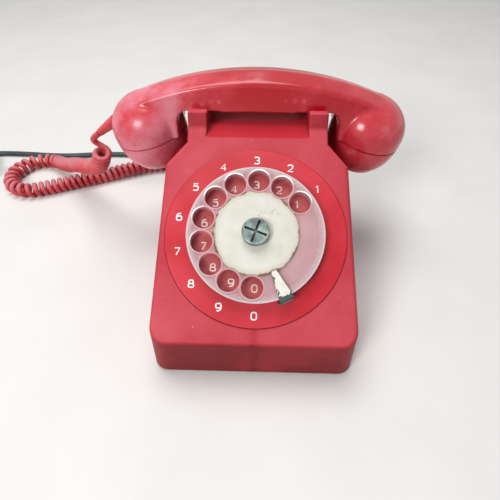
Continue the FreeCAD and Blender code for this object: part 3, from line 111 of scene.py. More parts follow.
# Moulded rubber: nearly black, dull, a little chalky where it rubs the table
moulded_rubber = mottled("black_rubber_moulded", "#141414", "#2A2927", 9.0, 0.8, (0.65, 0.85), 0.05)
# Zinc plate on steel: pale grey metal, clouded in patches
plated_steel = mottled("steel_zinc_plated", "#9A9B95", "#C4C4BE", 12.0, 1.0, (0.3, 0.5), 0.01, Metallic=1.0)
dress(lacquered_steel, "base_plate")
dress(moulded_rubber, "rubber_feet")
dress(plated_steel, "base_screws")


# The shell: one thin moulding in red ABS, with a sloping face, stepped shoulders and two cradle arms.
# It drops over the base plate and is held from below, so no fixing shows.

pocket_half_width = 0.0345
pocket_half_depth = 0.0345
pocket_middle = 0.0565
pocket_edge = 0.001
streak_half_width = 0.004
front_low = -0.092
front_high = -0.080
crease_reach = 0.006

# Moulded ABS left in the sun: satin red, gone chalky pink on what faces up.
# It has dark specks, motes of dust, painted shade that darkens its creases, and a faint flow line below the
# dial.
faded_abs, tree, shader, place = finish("red_abs_moulded_sun_faded", IOR=1.54, Specular_IOR_Level=0.15)
up = add(tree, "SeparateXYZ", {"Vector": add(tree, "TexCoord").outputs["Normal"]})
cloud = add(tree, "TexNoise", {"Vector": place, "Scale": 1000 / 55, "Detail": 6.0, "Roughness": 0.6})
fade = add(tree, "MapRange", {"Value": up.outputs["Z"], "From Min": -0.1, "From Max": 0.95,
                              "To Min": 0.0, "To Max": 0.72})
drift = add(tree, "MapRange", {"Value": cloud.outputs["Fac"], "From Min": 0.3, "From Max": 0.7,
                               "To Min": -0.22, "To Max": 0.20})
spot = add(tree, "SeparateXYZ", {"Vector": place})
aside = add(tree, "Math", {0: spot.outputs["X"]}, operation="ABSOLUTE")
between = add(tree, "MapRange", {"Value": aside.outputs["Value"], "From Min": pocket_half_width - pocket_edge,
                                 "From Max": pocket_half_width + pocket_edge, "To Min": 0.85, "To Max": 0.0})
from_middle = add(tree, "Math", {0: spot.outputs["Y"], 1: pocket_middle}, operation="SUBTRACT")
off_middle = add(tree, "Math", {0: from_middle.outputs["Value"]}, operation="ABSOLUTE")
sheltered = add(tree, "MapRange", {"Value": off_middle.outputs["Value"],
                                   "From Min": pocket_half_depth - pocket_edge,
                                   "From Max": pocket_half_depth + pocket_edge, "To Min": 1.0, "To Max": 0.0})
shade = add(tree, "Math", {0: between.outputs["Result"], 1: sheltered.outputs["Result"]}, operation="MULTIPLY")
weather = add(tree, "Math", {0: fade.outputs["Result"], 1: drift.outputs["Result"]}, operation="ADD")
flow = add(tree, "MapRange", {"Value": aside.outputs["Value"], "From Min": 0.0, "From Max": streak_half_width,
                              "To Min": 0.16, "To Max": 0.0})
in_front = add(tree, "MapRange", {"Value": spot.outputs["Y"], "From Min": front_low, "From Max": front_high,
                                  "To Min": 1.0, "To Max": 0.0})
streak = add(tree, "Math", {0: flow.outputs["Result"], 1: in_front.outputs["Result"]}, operation="MULTIPLY")
bleach = add(tree, "Math", {0: weather.outputs["Value"], 1: streak.outputs["Value"]},
             operation="SUBTRACT", use_clamp=True)
sunned = add(tree, "ValToRGB", {"Fac": bleach.outputs["Value"]},
             [(0.0, "#7A1218"), (1.0, "#D25A65"), (0.5, "#B93843")])
colour = add(tree, "MixRGB", {"Fac": shade.outputs["Value"], "Color1": sunned.outputs["Color"],
                              "Color2": linear("#BB1E2B")})
speck = add(tree, "TexNoise", {"Vector": place, "Scale": 1000 / 2.6, "Detail": 2.0})
spots = add(tree, "ValToRGB", {"Fac": speck.outputs["Fac"]}, [(0.70, "#000000"), (0.78, "#FFFFFF")])
spot_share = add(tree, "Math", {0: spots.outputs["Color"], 1: 0.35}, operation="MULTIPLY")
spotted = add(tree, "MixRGB", {"Fac": spot_share.outputs["Value"], "Color1": colour.outputs["Color"],
                               "Color2": linear("#8E2029")})
mote = add(tree, "ValToRGB", {"Fac": speck.outputs["Fac"]}, [(0.215, "#FFFFFF"), (0.235, "#000000")])
dusted = add(tree, "MixRGB", {"Fac": mote.outputs["Color"], "Color1": spotted.outputs["Color"],
                              "Color2": linear("#E9C3C4")})
# Painted shade: the colour turns a darker red where ambient occlusion finds creases and tight corners.
crease = add(tree, "AmbientOcclusion", {"Distance": crease_reach}, samples=8)
painted_crease_shade = add(tree, "MapRange", {"Value": crease.outputs["AO"], "From Min": 0.35, "From Max": 0.8,
                               "To Min": 0.55, "To Max": 0.0})
crease_shaded = add(tree, "MixRGB", {"Fac": painted_crease_shade.outputs["Result"], "Color1": dusted.outputs["Color"],
                            "Color2": linear("#6E1C22")})
peel = add(tree, "TexNoise", {"Vector": place, "Scale": 1000 / 0.9, "Detail": 2.0})
gloss = add(tree, "MapRange", {"Value": cloud.outputs["Fac"], "From Min": 0.3, "From Max": 0.7,
                               "To Min": 0.42, "To Max": 0.56})
relief = add(tree, "Bump", {"Height": peel.outputs["Fac"], "Strength": 0.25, "Distance": 0.00005})
tree.links.new(crease_shaded.outputs["Color"], shader.inputs["Base Color"])
tree.links.new(gloss.outputs["Result"], shader.inputs["Roughness"])
tree.links.new(relief.outputs["Normal"], shader.inputs["Normal"])
dress(faded_abs, "housing")


# The number plate: a smooth red ABS disc let into the face, screen printed with two rings of figures.
# The outer figures stand clear of the finger wheel, and the inner ones show through its holes.

face_slope = math.radians(32.0)
dial_centre = Vector((0.0, -0.036551, 0.077147))
dial_frame = Matrix.Translation(dial_centre) @ Matrix.Rotation(face_slope, 4, "X")
wiped_from = 0.0446
dusty_to = 0.0430


def across_dial(tree, place):
    """A surface's place on the dial: in the dial's own frame, its parts, its flat part and its distance out."""
    on_dial = add(tree, "Mapping", {"Vector": place, "Location": dial_centre,
                                    "Rotation": (face_slope, 0.0, 0.0)}, vector_type="TEXTURE")
    flat = add(tree, "SeparateXYZ", {"Vector": on_dial.outputs["Vector"]})
    across = add(tree, "CombineXYZ", {"X": flat.outputs["X"], "Y": flat.outputs["Y"]})
    radius = add(tree, "VectorMath", {0: across.outputs["Vector"]}, operation="LENGTH")
    return on_dial, flat, across, radius


# Smooth moulded ABS: a full wiped red outside, dusty and brownish where the wheel keeps the cloth off
plate_abs, tree, shader, place = finish("red_abs_moulded_smooth", IOR=1.54, Specular_IOR_Level=0.3)
*_, radius = across_dial(tree, place)
cloud = add(tree, "TexNoise", {"Vector": place, "Scale": 1000 / 38, "Detail": 5.0})
clean = add(tree, "ValToRGB", {"Fac": cloud.outputs["Fac"]}, [(0.35, "#BA1B29"), (0.65, "#CB333F")])
film = add(tree, "TexNoise", {"Vector": place, "Scale": 1000 / 7, "Detail": 6.0, "Roughness": 0.65})
dull = add(tree, "ValToRGB", {"Fac": film.outputs["Fac"]}, [(0.35, "#A84A4C"), (0.65, "#C0686A")])
under = add(tree, "MapRange", {"Value": radius.outputs["Value"], "From Min": dusty_to, "From Max": wiped_from,
                               "To Min": 0.75, "To Max": 0.0})
colour = add(tree, "MixRGB", {"Fac": under.outputs["Result"], "Color1": clean.outputs["Color"],
                              "Color2": dull.outputs["Color"]})
gloss = add(tree, "MapRange", {"Value": film.outputs["Fac"], "From Min": 0.3, "From Max": 0.7,
                               "To Min": 0.3, "To Max": 0.42})
peel = add(tree, "TexNoise", {"Vector": place, "Scale": 1000 / 1.4, "Detail": 2.0})
relief = add(tree, "Bump", {"Height": peel.outputs["Fac"], "Strength": 0.4, "Distance": 0.00002})
tree.links.new(colour.outputs["Color"], shader.inputs["Base Color"])
tree.links.new(gloss.outputs["Result"], shader.inputs["Roughness"])
tree.links.new(relief.outputs["Normal"], shader.inputs["Normal"])
dress(plate_abs, "number_plate")

figure_half_width = 0.0017
figure_half_height = 0.0023
ink_thickness = 0.00006
plate_top = 0.0012
outer_figure_ring = 0.0518
outer_stroke = 0.00092
inner_figure_ring = 0.0345
inner_stroke = 0.00096
figure_places = 14
figure_step = math.radians(360.0 / figure_places)
first_figure = math.radians(90.0 - 2 * 360.0 / figure_places)


def bow(x, y, wide, high, start, end):
    """Points along part of a squared oval, in shares of a figure's half width and half height."""
    steps = 24
    squareness = 0.68
    angles = [math.radians(start + (end - start) * k / steps) for k in range(steps + 1)]
    return [(x + wide * math.copysign(abs(math.cos(a)) ** squareness, math.cos(a)),
             y + high * math.copysign(abs(math.sin(a)) ** squareness, math.sin(a))) for a in angles]


six = [bow(0.5, -0.35, 1.5, 1.35, 88, 180) + bow(0, -0.37, 1.0, 0.63, 180, 540)]
figures = [
    [[(-0.55, 0.55), (0.15, 1.0), (0.15, -1.0)]],
    [bow(0, 0.42, 0.95, 0.58, 165, -30) + [(-1.0, -1.0), (1.0, -1.0)]],
    [bow(-0.05, 0.5, 0.9, 0.5, 150, -90) + bow(-0.05, -0.5, 1.0, 0.5, 90, -150)],
    [[(0.5, -1.0), (0.5, 1.0), (-1.0, -0.4), (1.0, -0.4)]],
    [[(0.85, 1.0), (-0.7, 1.0), (-0.8, 0.05)] + bow(-0.05, -0.34, 1.0, 0.66, 130, -145)],
    six,
    [[(-0.95, 1.0), (0.95, 1.0), (-0.35, -1.0)]],
    [bow(0, 0.52, 0.82, 0.48, -90, 270), bow(0, -0.48, 1.0, 0.52, 90, 450)],
    [[(-x, -y) for x, y in six[0]]],
    [bow(0, 0, 1.0, 1.0, 90, 450)],
]


def printed_ring(name, radius, stroke, material):
    """Ten upright figures round the plate as one thin layer of ink."""
    ink = bmesh.new()
    for k, lines in enumerate(figures):
        curve = bpy.data.curves.new(name, "CURVE")
        curve.dimensions = "3D"
        curve.bevel_depth = stroke / 2
        curve.bevel_resolution = 2
        curve.use_fill_caps = True
        for line in lines:
            spline = curve.splines.new("POLY")
            spline.points.add(len(line) - 1)
            for point, (x, y) in zip(spline.points, line):
                point.co = (x * figure_half_width, y * figure_half_height, 0.0, 1.0)
        holder = bpy.data.objects.new(name, curve)
        flat = bpy.data.meshes.new_from_object(holder)
        angle = first_figure + k * figure_step
        centre = Vector((radius * math.cos(angle), radius * math.sin(angle), plate_top + ink_thickness / 2))
        flat.transform(Matrix.Diagonal((1.0, 1.0, ink_thickness / stroke, 1.0)))
        flat.transform(dial_frame @ Matrix.Translation(centre))
        ink.from_mesh(flat)
        bpy.data.objects.remove(holder)
        bpy.data.curves.remove(curve)
        bpy.data.meshes.remove(flat)
    mesh = bpy.data.meshes.new(name)
    ink.to_mesh(mesh)
    ink.free()
    mesh.materials.append(material)
    ring = bpy.data.objects.new(name, mesh)
    bpy.context.scene.collection.objects.link(ring)
    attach(ring, "base")


# Screen ink: dense white outside, and yellowed cream under the dusty wheel
white_ink = mottled("white_screen_ink", "#F2EFEC", "#FDFCFA", 6.0, 0.5, (0.4, 0.55), 0.01)
cream_ink = mottled("cream_screen_ink", "#E0CBC2", "#F2E6DE", 5.0, 0.5, (0.45, 0.6), 0.01)
printed_ring("outer_figures", outer_figure_ring, outer_stroke, white_ink)
printed_ring("inner_figures", inner_figure_ring, inner_stroke, cream_ink)


# The finger wheel: one clear acrylic moulding with ten collared holes and a turned-down rim.
# It sits on the dial shaft under the card and the centre screw.

hole_ring = 0.0347
hole_lag = math.radians(2.5)
hole_turn = first_figure - figure_step / 2 - hole_lag
light_pull = (0.0, 0.6, 0.0)
lip_low = 0.0087
lip_high = 0.0090
collar_low = 0.0088
collar_high = 0.0092
dusty_from = 0.0400
dusty_full = 0.0424
dust_wander = 0.0012
rim_from = 0.0429
rim_full = 0.0433

# Moulded acrylic after years of fingers: a smooth milky pink haze and a dusty grey rim, with painted highlights
# on the hole edges and round the rim
worn_acrylic, tree, shader, place = finish("clear_acrylic_scuffed", IOR=1.49)
on_dial, flat, across, radius = across_dial(tree, place)
bearing = add(tree, "Math", {0: flat.outputs["Y"], 1: flat.outputs["X"]}, operation="ARCTAN2")
nearest = add(tree, "Math", {0: bearing.outputs["Value"], 1: hole_turn}, operation="SUBTRACT")
snapped = add(tree, "Math", {0: nearest.outputs["Value"], 1: figure_step}, operation="SNAP")
hole_at = add(tree, "Math", {0: snapped.outputs["Value"], 1: hole_turn + figure_step / 2}, operation="ADD")
hole_x = add(tree, "Math", {0: hole_at.outputs["Value"]}, operation="COSINE")
hole_y = add(tree, "Math", {0: hole_at.outputs["Value"]}, operation="SINE")
outward = add(tree, "CombineXYZ", {"X": hole_x.outputs["Value"], "Y": hole_y.outputs["Value"]})
hole_middle = add(tree, "VectorMath", {0: outward.outputs["Vector"], "Scale": hole_ring}, operation="SCALE")
from_hole = add(tree, "VectorMath", {0: across.outputs["Vector"], 1: hole_middle.outputs["Vector"]},
                operation="SUBTRACT")
pointing = add(tree, "VectorMath", {0: from_hole.outputs["Vector"]}, operation="NORMALIZE")
# Painted highlight: a pale crescent on the top edge of each hole, on the side toward the light; it also makes
# the acrylic there less clear.
to_light = add(tree, "VectorMath", {0: outward.outputs["Vector"], 1: light_pull}, operation="ADD")
lit = add(tree, "VectorMath", {0: pointing.outputs["Vector"], 1: to_light.outputs["Vector"]},
          operation="DOT_PRODUCT")
lit_side = add(tree, "MapRange", {"Value": lit.outputs["Value"], "From Min": 0.75, "From Max": 1.3,
                                  "To Min": 0.0, "To Max": 1.0})
lip = add(tree, "MapRange", {"Value": flat.outputs["Z"], "From Min": lip_low, "From Max": lip_high,
                             "To Min": 0.0, "To Max": 1.0})
edge_highlight = add(tree, "Math", {0: lit_side.outputs["Result"], 1: lip.outputs["Result"]}, operation="MULTIPLY")
collar = add(tree, "MapRange", {"Value": flat.outputs["Z"], "From Min": collar_low, "From Max": collar_high,
                                "To Min": 0.0, "To Max": 0.2})
cloud = add(tree, "TexNoise", {"Vector": on_dial.outputs["Vector"], "Scale": 1000 / 18, "Detail": 3.0})
haze = add(tree, "MapRange", {"Value": cloud.outputs["Fac"], "From Min": 0.3, "From Max": 0.7,
                              "To Min": 0.32, "To Max": 0.52})
scuff = add(tree, "TexNoise", {"Vector": on_dial.outputs["Vector"], "Scale": 1000 / 2.2, "Detail": 6.0,
                               "Roughness": 0.7})
wander = add(tree, "MapRange", {"Value": scuff.outputs["Fac"], "From Min": 0.3, "From Max": 0.7,
                                "To Min": -dust_wander, "To Max": dust_wander})
reach = add(tree, "Math", {0: radius.outputs["Value"], 1: wander.outputs["Result"]}, operation="ADD")
ring_dust = add(tree, "MapRange", {"Value": reach.outputs["Value"], "From Min": dusty_from,
                                   "From Max": dusty_full, "To Min": 0.0, "To Max": 0.5})
edges = add(tree, "Math", {0: edge_highlight.outputs["Value"], 1: collar.outputs["Result"]}, operation="ADD")
dusty = add(tree, "Math", {0: haze.outputs["Result"], 1: ring_dust.outputs["Result"]}, operation="ADD")
cover = add(tree, "Math", {0: dusty.outputs["Value"], 1: edges.outputs["Value"]},
            operation="ADD", use_clamp=True)
milky = add(tree, "MixRGB", {"Fac": ring_dust.outputs["Result"], "Color1": linear("#E6BCC0"),
                             "Color2": linear("#93918F")})
# Painted highlight: a pale line round the rim of the wheel.
rim_highlight = add(tree, "MapRange", {"Value": radius.outputs["Value"], "From Min": rim_from, "From Max": rim_full,
                                  "To Min": 0.0, "To Max": 0.28})
painted_highlight = add(tree, "Math", {0: edge_highlight.outputs["Value"], 1: rim_highlight.outputs["Result"]}, operation="MAXIMUM")
milky_and_highlight = add(tree, "MixRGB", {"Fac": painted_highlight.outputs["Value"], "Color1": milky.outputs["Color"],
                            "Color2": linear("#FBF6F4")})
gloss = add(tree, "MapRange", {"Value": scuff.outputs["Fac"], "From Min": 0.3, "From Max": 0.7,
                               "To Min": 0.15, "To Max": 0.30})
tree.links.new(milky_and_highlight.outputs["Color"], shader.inputs["Base Color"])
tree.links.new(cover.outputs["Value"], shader.inputs["Alpha"])
tree.links.new(gloss.outputs["Result"], shader.inputs["Roughness"])
dress(worn_acrylic, "finger_wheel")


# The card: a disc of uncoated paper on the wheel's boss, cut out at its edge for the hole collars.
# The centre screw clamps it.

tan_from = 0.0235
tan_full = 0.0275
brown_from = 0.0264
brown_full = 0.0276
stain_wander = 0.0022
tide_low = 0.0112
tide_high = 0.0168
tide_half_width = 0.0005
tide_start = (-0.001, 0.002)
tide_end = (0.013, 0.017)

# Uncoated card gone cream: a dark brown edge and the wavy tide line of old damp
stained_card, tree, shader, place = finish("card_uncoated_damp_stained", Roughness=0.85, Specular_IOR_Level=0.2)
_, flat, _, radius = across_dial(tree, place)
cloud = add(tree, "TexNoise", {"Vector": place, "Scale": 1000 / 11, "Detail": 4.0})
paper = add(tree, "ValToRGB", {"Fac": cloud.outputs["Fac"]}, [(0.3, "#D3D0C3"), (0.7, "#E1DFD4")])
wander = add(tree, "MapRange", {"Value": cloud.outputs["Fac"], "From Min": 0.25, "From Max": 0.75,
                                "To Min": -stain_wander, "To Max": stain_wander})
reach = add(tree, "Math", {0: radius.outputs["Value"], 1: wander.outputs["Result"]}, operation="ADD")
tanned = add(tree, "MapRange", {"Value": reach.outputs["Value"], "From Min": tan_from, "From Max": tan_full,
                                "To Min": 0.0, "To Max": 0.4})
tan = add(tree, "MixRGB", {"Fac": tanned.outputs["Result"], "Color1": paper.outputs["Color"],
                           "Color2": linear("#B0946C")})
edge = add(tree, "MapRange", {"Value": reach.outputs["Value"], "From Min": brown_from, "From Max": brown_full,
                              "To Min": 0.0, "To Max": 0.9})
browned = add(tree, "MixRGB", {"Fac": edge.outputs["Result"], "Color1": tan.outputs["Color"],
                               "Color2": linear("#5E4126")})
ripple = add(tree, "TexNoise", {"Vector": place, "Scale": 1000 / 5.5, "Detail": 3.0})
wave = add(tree, "MapRange", {"Value": ripple.outputs["Fac"], "From Min": 0.3, "From Max": 0.7,
                              "To Min": tide_low, "To Max": tide_high})
off_line = add(tree, "Math", {0: flat.outputs["Y"], 1: wave.outputs["Result"]}, operation="SUBTRACT")
off_tide = add(tree, "Math", {0: off_line.outputs["Value"]}, operation="ABSOLUTE")
tide = add(tree, "MapRange", {"Value": off_tide.outputs["Value"], "From Min": 0.0, "From Max": tide_half_width,
                              "To Min": 0.6, "To Max": 0.0})
run_in = add(tree, "MapRange", {"Value": flat.outputs["X"], "From Min": tide_start[0],
                                "From Max": tide_start[1], "To Min": 0.0, "To Max": 1.0})
run_out = add(tree, "MapRange", {"Value": flat.outputs["X"], "From Min": tide_end[0], "From Max": tide_end[1],
                                 "To Min": 1.0, "To Max": 0.0})
run = add(tree, "Math", {0: run_in.outputs["Result"], 1: run_out.outputs["Result"]}, operation="MULTIPLY")
line_share = add(tree, "Math", {0: tide.outputs["Result"], 1: run.outputs["Value"]}, operation="MULTIPLY")
stained = add(tree, "MixRGB", {"Fac": line_share.outputs["Value"], "Color1": browned.outputs["Color"],
                               "Color2": linear("#A88C66")})
fibre = add(tree, "TexNoise", {"Vector": place, "Scale": 1000 / 0.5, "Detail": 3.0})
relief = add(tree, "Bump", {"Height": fibre.outputs["Fac"], "Strength": 0.4, "Distance": 0.00005})
tree.links.new(stained.outputs["Color"], shader.inputs["Base Color"])
tree.links.new(relief.outputs["Normal"], shader.inputs["Normal"])
dress(stained_card, "card")


# The centre screw: a thick head with crossed slots, turned in steel and zinc plated.
# It is screwed down through the card into the dial shaft.

slot_shade_reach = 0.003

# Zinc plate gone dull: grey and blue-green patches, with near-black painted shade in the slots
dull_zinc, tree, shader, place = finish("zinc_plate_tarnished", Metallic=0.75)
cloud = add(tree, "TexNoise", {"Vector": place, "Scale": 1000 / 6, "Detail": 4.0})
colour = add(tree, "ValToRGB", {"Fac": cloud.outputs["Fac"]},
             [(0.36, "#666963"), (0.64, "#9DA69C"), (0.5, "#748985")])
# Painted shade: near-black where ambient occlusion finds the slots.
crease = add(tree, "AmbientOcclusion", {"Distance": slot_shade_reach}, samples=8)
painted_shade = add(tree, "MapRange", {"Value": crease.outputs["AO"], "From Min": 0.3, "From Max": 0.75,
                              "To Min": 0.95, "To Max": 0.0})
shade_mixed = add(tree, "MixRGB", {"Fac": painted_shade.outputs["Result"], "Color1": colour.outputs["Color"],
                             "Color2": linear("#17191A")})
gloss = add(tree, "MapRange", {"Value": cloud.outputs["Fac"], "From Min": 0.3, "From Max": 0.7,
                               "To Min": 0.38, "To Max": 0.55})
tree.links.new(shade_mixed.outputs["Color"], shader.inputs["Base Color"])
tree.links.new(gloss.outputs["Result"], shader.inputs["Roughness"])
dress(dull_zinc, "centre_screw")


# The finger stop: a tapered blade over the wheel's edge, pressed in steel and enamelled.
# It is bent down through a slot in the number plate, which holds it.

blade_tip = 0.0268
blade_root = 0.0452
tip_half_width = 0.00175
root_half_width = 0.0045
blade_turn = figure_step - math.pi / 2
worn_from = 0.0425
worn_full = 0.0450

# Stoved cream enamel over steel: chipped along the edges, worn to grey metal at the bend
chipped_enamel, tree, shader, place = finish("cream_enamel_on_steel_chipped", Roughness=0.42)
on_dial, *_, radius = across_dial(tree, place)
blade = add(tree, "Mapping", {"Vector": on_dial.outputs["Vector"], "Rotation": (0.0, 0.0, blade_turn)},
            vector_type="TEXTURE")
along = add(tree, "SeparateXYZ", {"Vector": blade.outputs["Vector"]})
half_width = add(tree, "MapRange", {"Value": along.outputs["X"], "From Min": blade_tip, "From Max": blade_root,
                                    "To Min": tip_half_width, "To Max": root_half_width})
aside = add(tree, "Math", {0: along.outputs["Y"], 1: half_width.outputs["Result"]}, operation="DIVIDE")
left_edge = add(tree, "MapRange", {"Value": aside.outputs["Value"], "From Min": -1.0, "From Max": -0.45,
                                   "To Min": 0.2, "To Max": 0.0})
right_edge = add(tree, "MapRange", {"Value": aside.outputs["Value"], "From Min": 0.75, "From Max": 1.0,
                                    "To Min": 0.0, "To Max": 0.11})
chipped = add(tree, "Math", {0: left_edge.outputs["Result"], 1: right_edge.outputs["Result"]}, operation="ADD")
chip = add(tree, "TexNoise", {"Vector": place, "Scale": 1000 / 2.2, "Detail": 5.0, "Roughness": 0.65})
worn = add(tree, "MapRange", {"Value": radius.outputs["Value"], "From Min": worn_from, "From Max": worn_full,
                              "To Min": 0.0, "To Max": 0.35})
wear = add(tree, "Math", {0: worn.outputs["Result"], 1: chipped.outputs["Value"]}, operation="ADD")
bare = add(tree, "Math", {0: chip.outputs["Fac"], 1: wear.outputs["Value"]}, operation="ADD")
metal = add(tree, "ValToRGB", {"Fac": bare.outputs["Value"]}, [(0.615, "#000000"), (0.645, "#FFFFFF")])
enamel = add(tree, "ValToRGB", {"Fac": chip.outputs["Fac"]}, [(0.3, "#D8D5C4"), (0.6, "#EFEDE0")])
colour = add(tree, "MixRGB", {"Fac": metal.outputs["Color"], "Color1": enamel.outputs["Color"],
                              "Color2": linear("#4E5553")})
relief = add(tree, "Bump", {"Height": metal.outputs["Color"], "Strength": 0.6, "Distance": 0.0001}, invert=True)
tree.links.new(colour.outputs["Color"], shader.inputs["Base Color"])
tree.links.new(metal.outputs["Color"], shader.inputs["Metallic"])
tree.links.new(relief.outputs["Normal"], shader.inputs["Normal"])
dress(chipped_enamel, "finger_stop")


# The dial works under the plate: frame, shaft, gear train, governor and the contacts that break the line.
# They are pressed, stamped and turned, and held together by three screws.

# Stamped brass: warm yellow metal, dulled brown in patches
stamped_brass = mottled("brass_stamped", "#A98846", "#CDB069", 8.0, 0.9, (0.28, 0.45), 0.01, Metallic=1.0)
# Paper-filled phenolic: deep brown, satin, with a faint fleck
phenolic = mottled("brown_phenolic_pressed", "#2A1A12", "#3E2819", 4.0, 0.7, (0.35, 0.5), 0.02)
# Moulded nylon: ivory and waxy
ivory_nylon = mottled("ivory_nylon_moulded", "#D6D0BF", "#E8E4D8", 14.0, 1.1, (0.4, 0.55), 0.02)
dress(plated_steel, "dial_frame", "dial_screws", "dial_spring", "dial_shaft", "impulse_arbor", "governor_arbor")
dress(stamped_brass, "main_gear", "impulse_wheel", "governor_cup", "governor_weights")
dress(phenolic, "impulse_contacts")
dress(ivory_nylon, "impulse_cam")


# The hook switch: two moulded nylon plungers that rise through the cradle arms, joined by a bar.
# The bar works a stack of contacts on a phenolic block inside the shell.

dress(ivory_nylon, "hook_plunger_left", "hook_plunger_right", "hook_yoke")
dress(phenolic, "hook_contacts")


# The ringer and the speech parts: plated gongs, wound coils, a brass clapper, a capacitor and terminals.
# They stand on the base plate, and the moulded nylon volume knob turns under it.

# Copper wire under varnished tape: brown-orange with darker laps
taped_copper = mottled("copper_winding_taped", "#6E3A1B", "#9A5A2C", 5.0, 0.8, (0.35, 0.55), 0.06)
dress(plated_steel, "gong_left", "gong_right", "gong_posts", "ringer_frame", "volume_bracket", "armature")
dress(stamped_brass, "clapper")
dress(taped_copper, "ringer_coils", "induction_coil")
dress(phenolic, "capacitor", "terminal_board")
dress(ivory_nylon, "volume_knob")


# The handset: a hollow moulding in red ABS, an arched handle with a flat crease each side and two domed cups.
# A cap screws up into each cup over its capsule, and the whole rests on the cradle arms.

bloom_from = 0.008
bloom_full = 0.072
handset_half_length = 0.1
dimple_front = 0.0413
dimples = [(-0.0391, 0.1275, 0.0024), (-0.0327, 0.1290, 0.0024), (-0.0272, 0.1292, 0.0022),
           (0.0188, 0.1303, 0.0016), (0.0252, 0.1307, 0.0028), (0.0314, 0.1304, 0.0024)]
pricks = [(*dimples[0][:2], 0.6), (*dimples[1][:2], 0.8)]
prick_inner = 0.0003
prick_outer = 0.0008
skin_voxel = 0.0008
skin_softening = 8

# Moulded ABS with a chalky bloom: glossy red under the hand and cloudy pink towards the cups, with painted light
# that pales the left end and darkens the right.
# Small pale dimples show on the front of the handle, and two of them are pricked.
bloomed_abs, tree, shader, place = finish("red_abs_moulded_bloomed", IOR=1.54, Specular_IOR_Level=0.42)
spot = add(tree, "SeparateXYZ", {"Vector": place})
aside = add(tree, "Math", {0: spot.outputs["X"]}, operation="ABSOLUTE")
towards_end = add(tree, "MapRange", {"Value": aside.outputs["Value"], "From Min": bloom_from,
                                     "From Max": bloom_full, "To Min": -0.12, "To Max": 0.62})
cloud = add(tree, "TexNoise", {"Vector": place, "Scale": 1000 / 28, "Detail": 7.0, "Roughness": 0.62})
drift = add(tree, "MapRange", {"Value": cloud.outputs["Fac"], "From Min": 0.3, "From Max": 0.7,
                               "To Min": -0.38, "To Max": 0.36})
# Painted light: the colour leans paler towards the left end and darker towards the right, where less light
# falls.
painted_light_lean = add(tree, "MapRange", {"Value": spot.outputs["X"], "From Min": -handset_half_length,
                              "From Max": handset_half_length, "To Min": 0.17, "To Max": -0.34})
patches_and_painted_light = add(tree, "Math", {0: drift.outputs["Result"], 1: painted_light_lean.outputs["Result"]}, operation="ADD")
bloom_and_painted_light = add(tree, "Math", {0: towards_end.outputs["Result"], 1: patches_and_painted_light.outputs["Value"]},
            operation="ADD", use_clamp=True)
for x, z, size in dimples:
    away = add(tree, "VectorMath", {0: place, 1: (x, dimple_front, z)}, operation="DISTANCE")
    pale = add(tree, "MapRange", {"Value": away.outputs["Value"], "From Min": size * 0.35, "From Max": size,
                                  "To Min": 0.34, "To Max": 0.0})
    bloom_and_painted_light = add(tree, "Math", {0: bloom_and_painted_light.outputs["Value"], 1: pale.outputs["Result"]},
                operation="ADD", use_clamp=True)
colour = add(tree, "ValToRGB", {"Fac": bloom_and_painted_light.outputs["Value"]},
             [(0.0, "#B81522"), (1.0, "#E08494"), (0.45, "#CA3642")])
for x, z, darkness in pricks:
    away = add(tree, "VectorMath", {0: place, 1: (x, dimple_front, z)}, operation="DISTANCE")
    pin = add(tree, "MapRange", {"Value": away.outputs["Value"], "From Min": prick_inner,
                                 "From Max": prick_outer, "To Min": darkness, "To Max": 0.0})
    colour = add(tree, "MixRGB", {"Fac": pin.outputs["Result"], "Color1": colour.outputs["Color"],
                                  "Color2": linear("#7A0F19")})
gloss = add(tree, "MapRange", {"Value": bloom_and_painted_light.outputs["Value"], "To Min": 0.14, "To Max": 0.32})
peel = add(tree, "TexNoise", {"Vector": place, "Scale": 1000 / 1.6, "Detail": 2.0})
relief = add(tree, "Bump", {"Height": peel.outputs["Fac"], "Strength": 0.2, "Distance": 0.00004})
tree.links.new(colour.outputs["Color"], shader.inputs["Base Color"])
tree.links.new(gloss.outputs["Result"], shader.inputs["Roughness"])
tree.links.new(relief.outputs["Normal"], shader.inputs["Normal"])
dress(bloomed_abs, "handset_body", "ear_cap", "mouth_cap")
even = nodes["handset_body"].modifiers.new("even_skin", "REMESH")
even.mode = "VOXEL"
even.voxel_size = skin_voxel
even.use_smooth_shade = True
soften = nodes["handset_body"].modifiers.new("soft_edges", "SMOOTH")
soften.factor = 0.5
soften.iterations = skin_softening
dress(plated_steel, "receiver_capsule", "transmitter_capsule")


# The handset cord: a red PVC jacket, extruded and set into tight curls.
# It runs from the sleeve moulded on the handset down to the table and into a gland in the back.

def smooth_route(name, points):
    """Points along the smooth line that a cord's route points draw."""
    curve = bpy.data.curves.new(name, "CURVE")
    curve.dimensions = "3D"
    curve.resolution_u = 16
    spline = curve.splines.new("NURBS")
    spline.points.add(len(points) - 1)
    for point, spot in zip(spline.points, points):
        point.co = (*spot, 1.0)
    spline.order_u = 3
    spline.use_endpoint_u = True
    holder = bpy.data.objects.new(name, curve)
    mesh = bpy.data.meshes.new_from_object(holder)
    line = [v.co.copy() for v in mesh.vertices]
    bpy.data.objects.remove(holder)
    bpy.data.curves.remove(curve)
    bpy.data.meshes.remove(mesh)
    return line


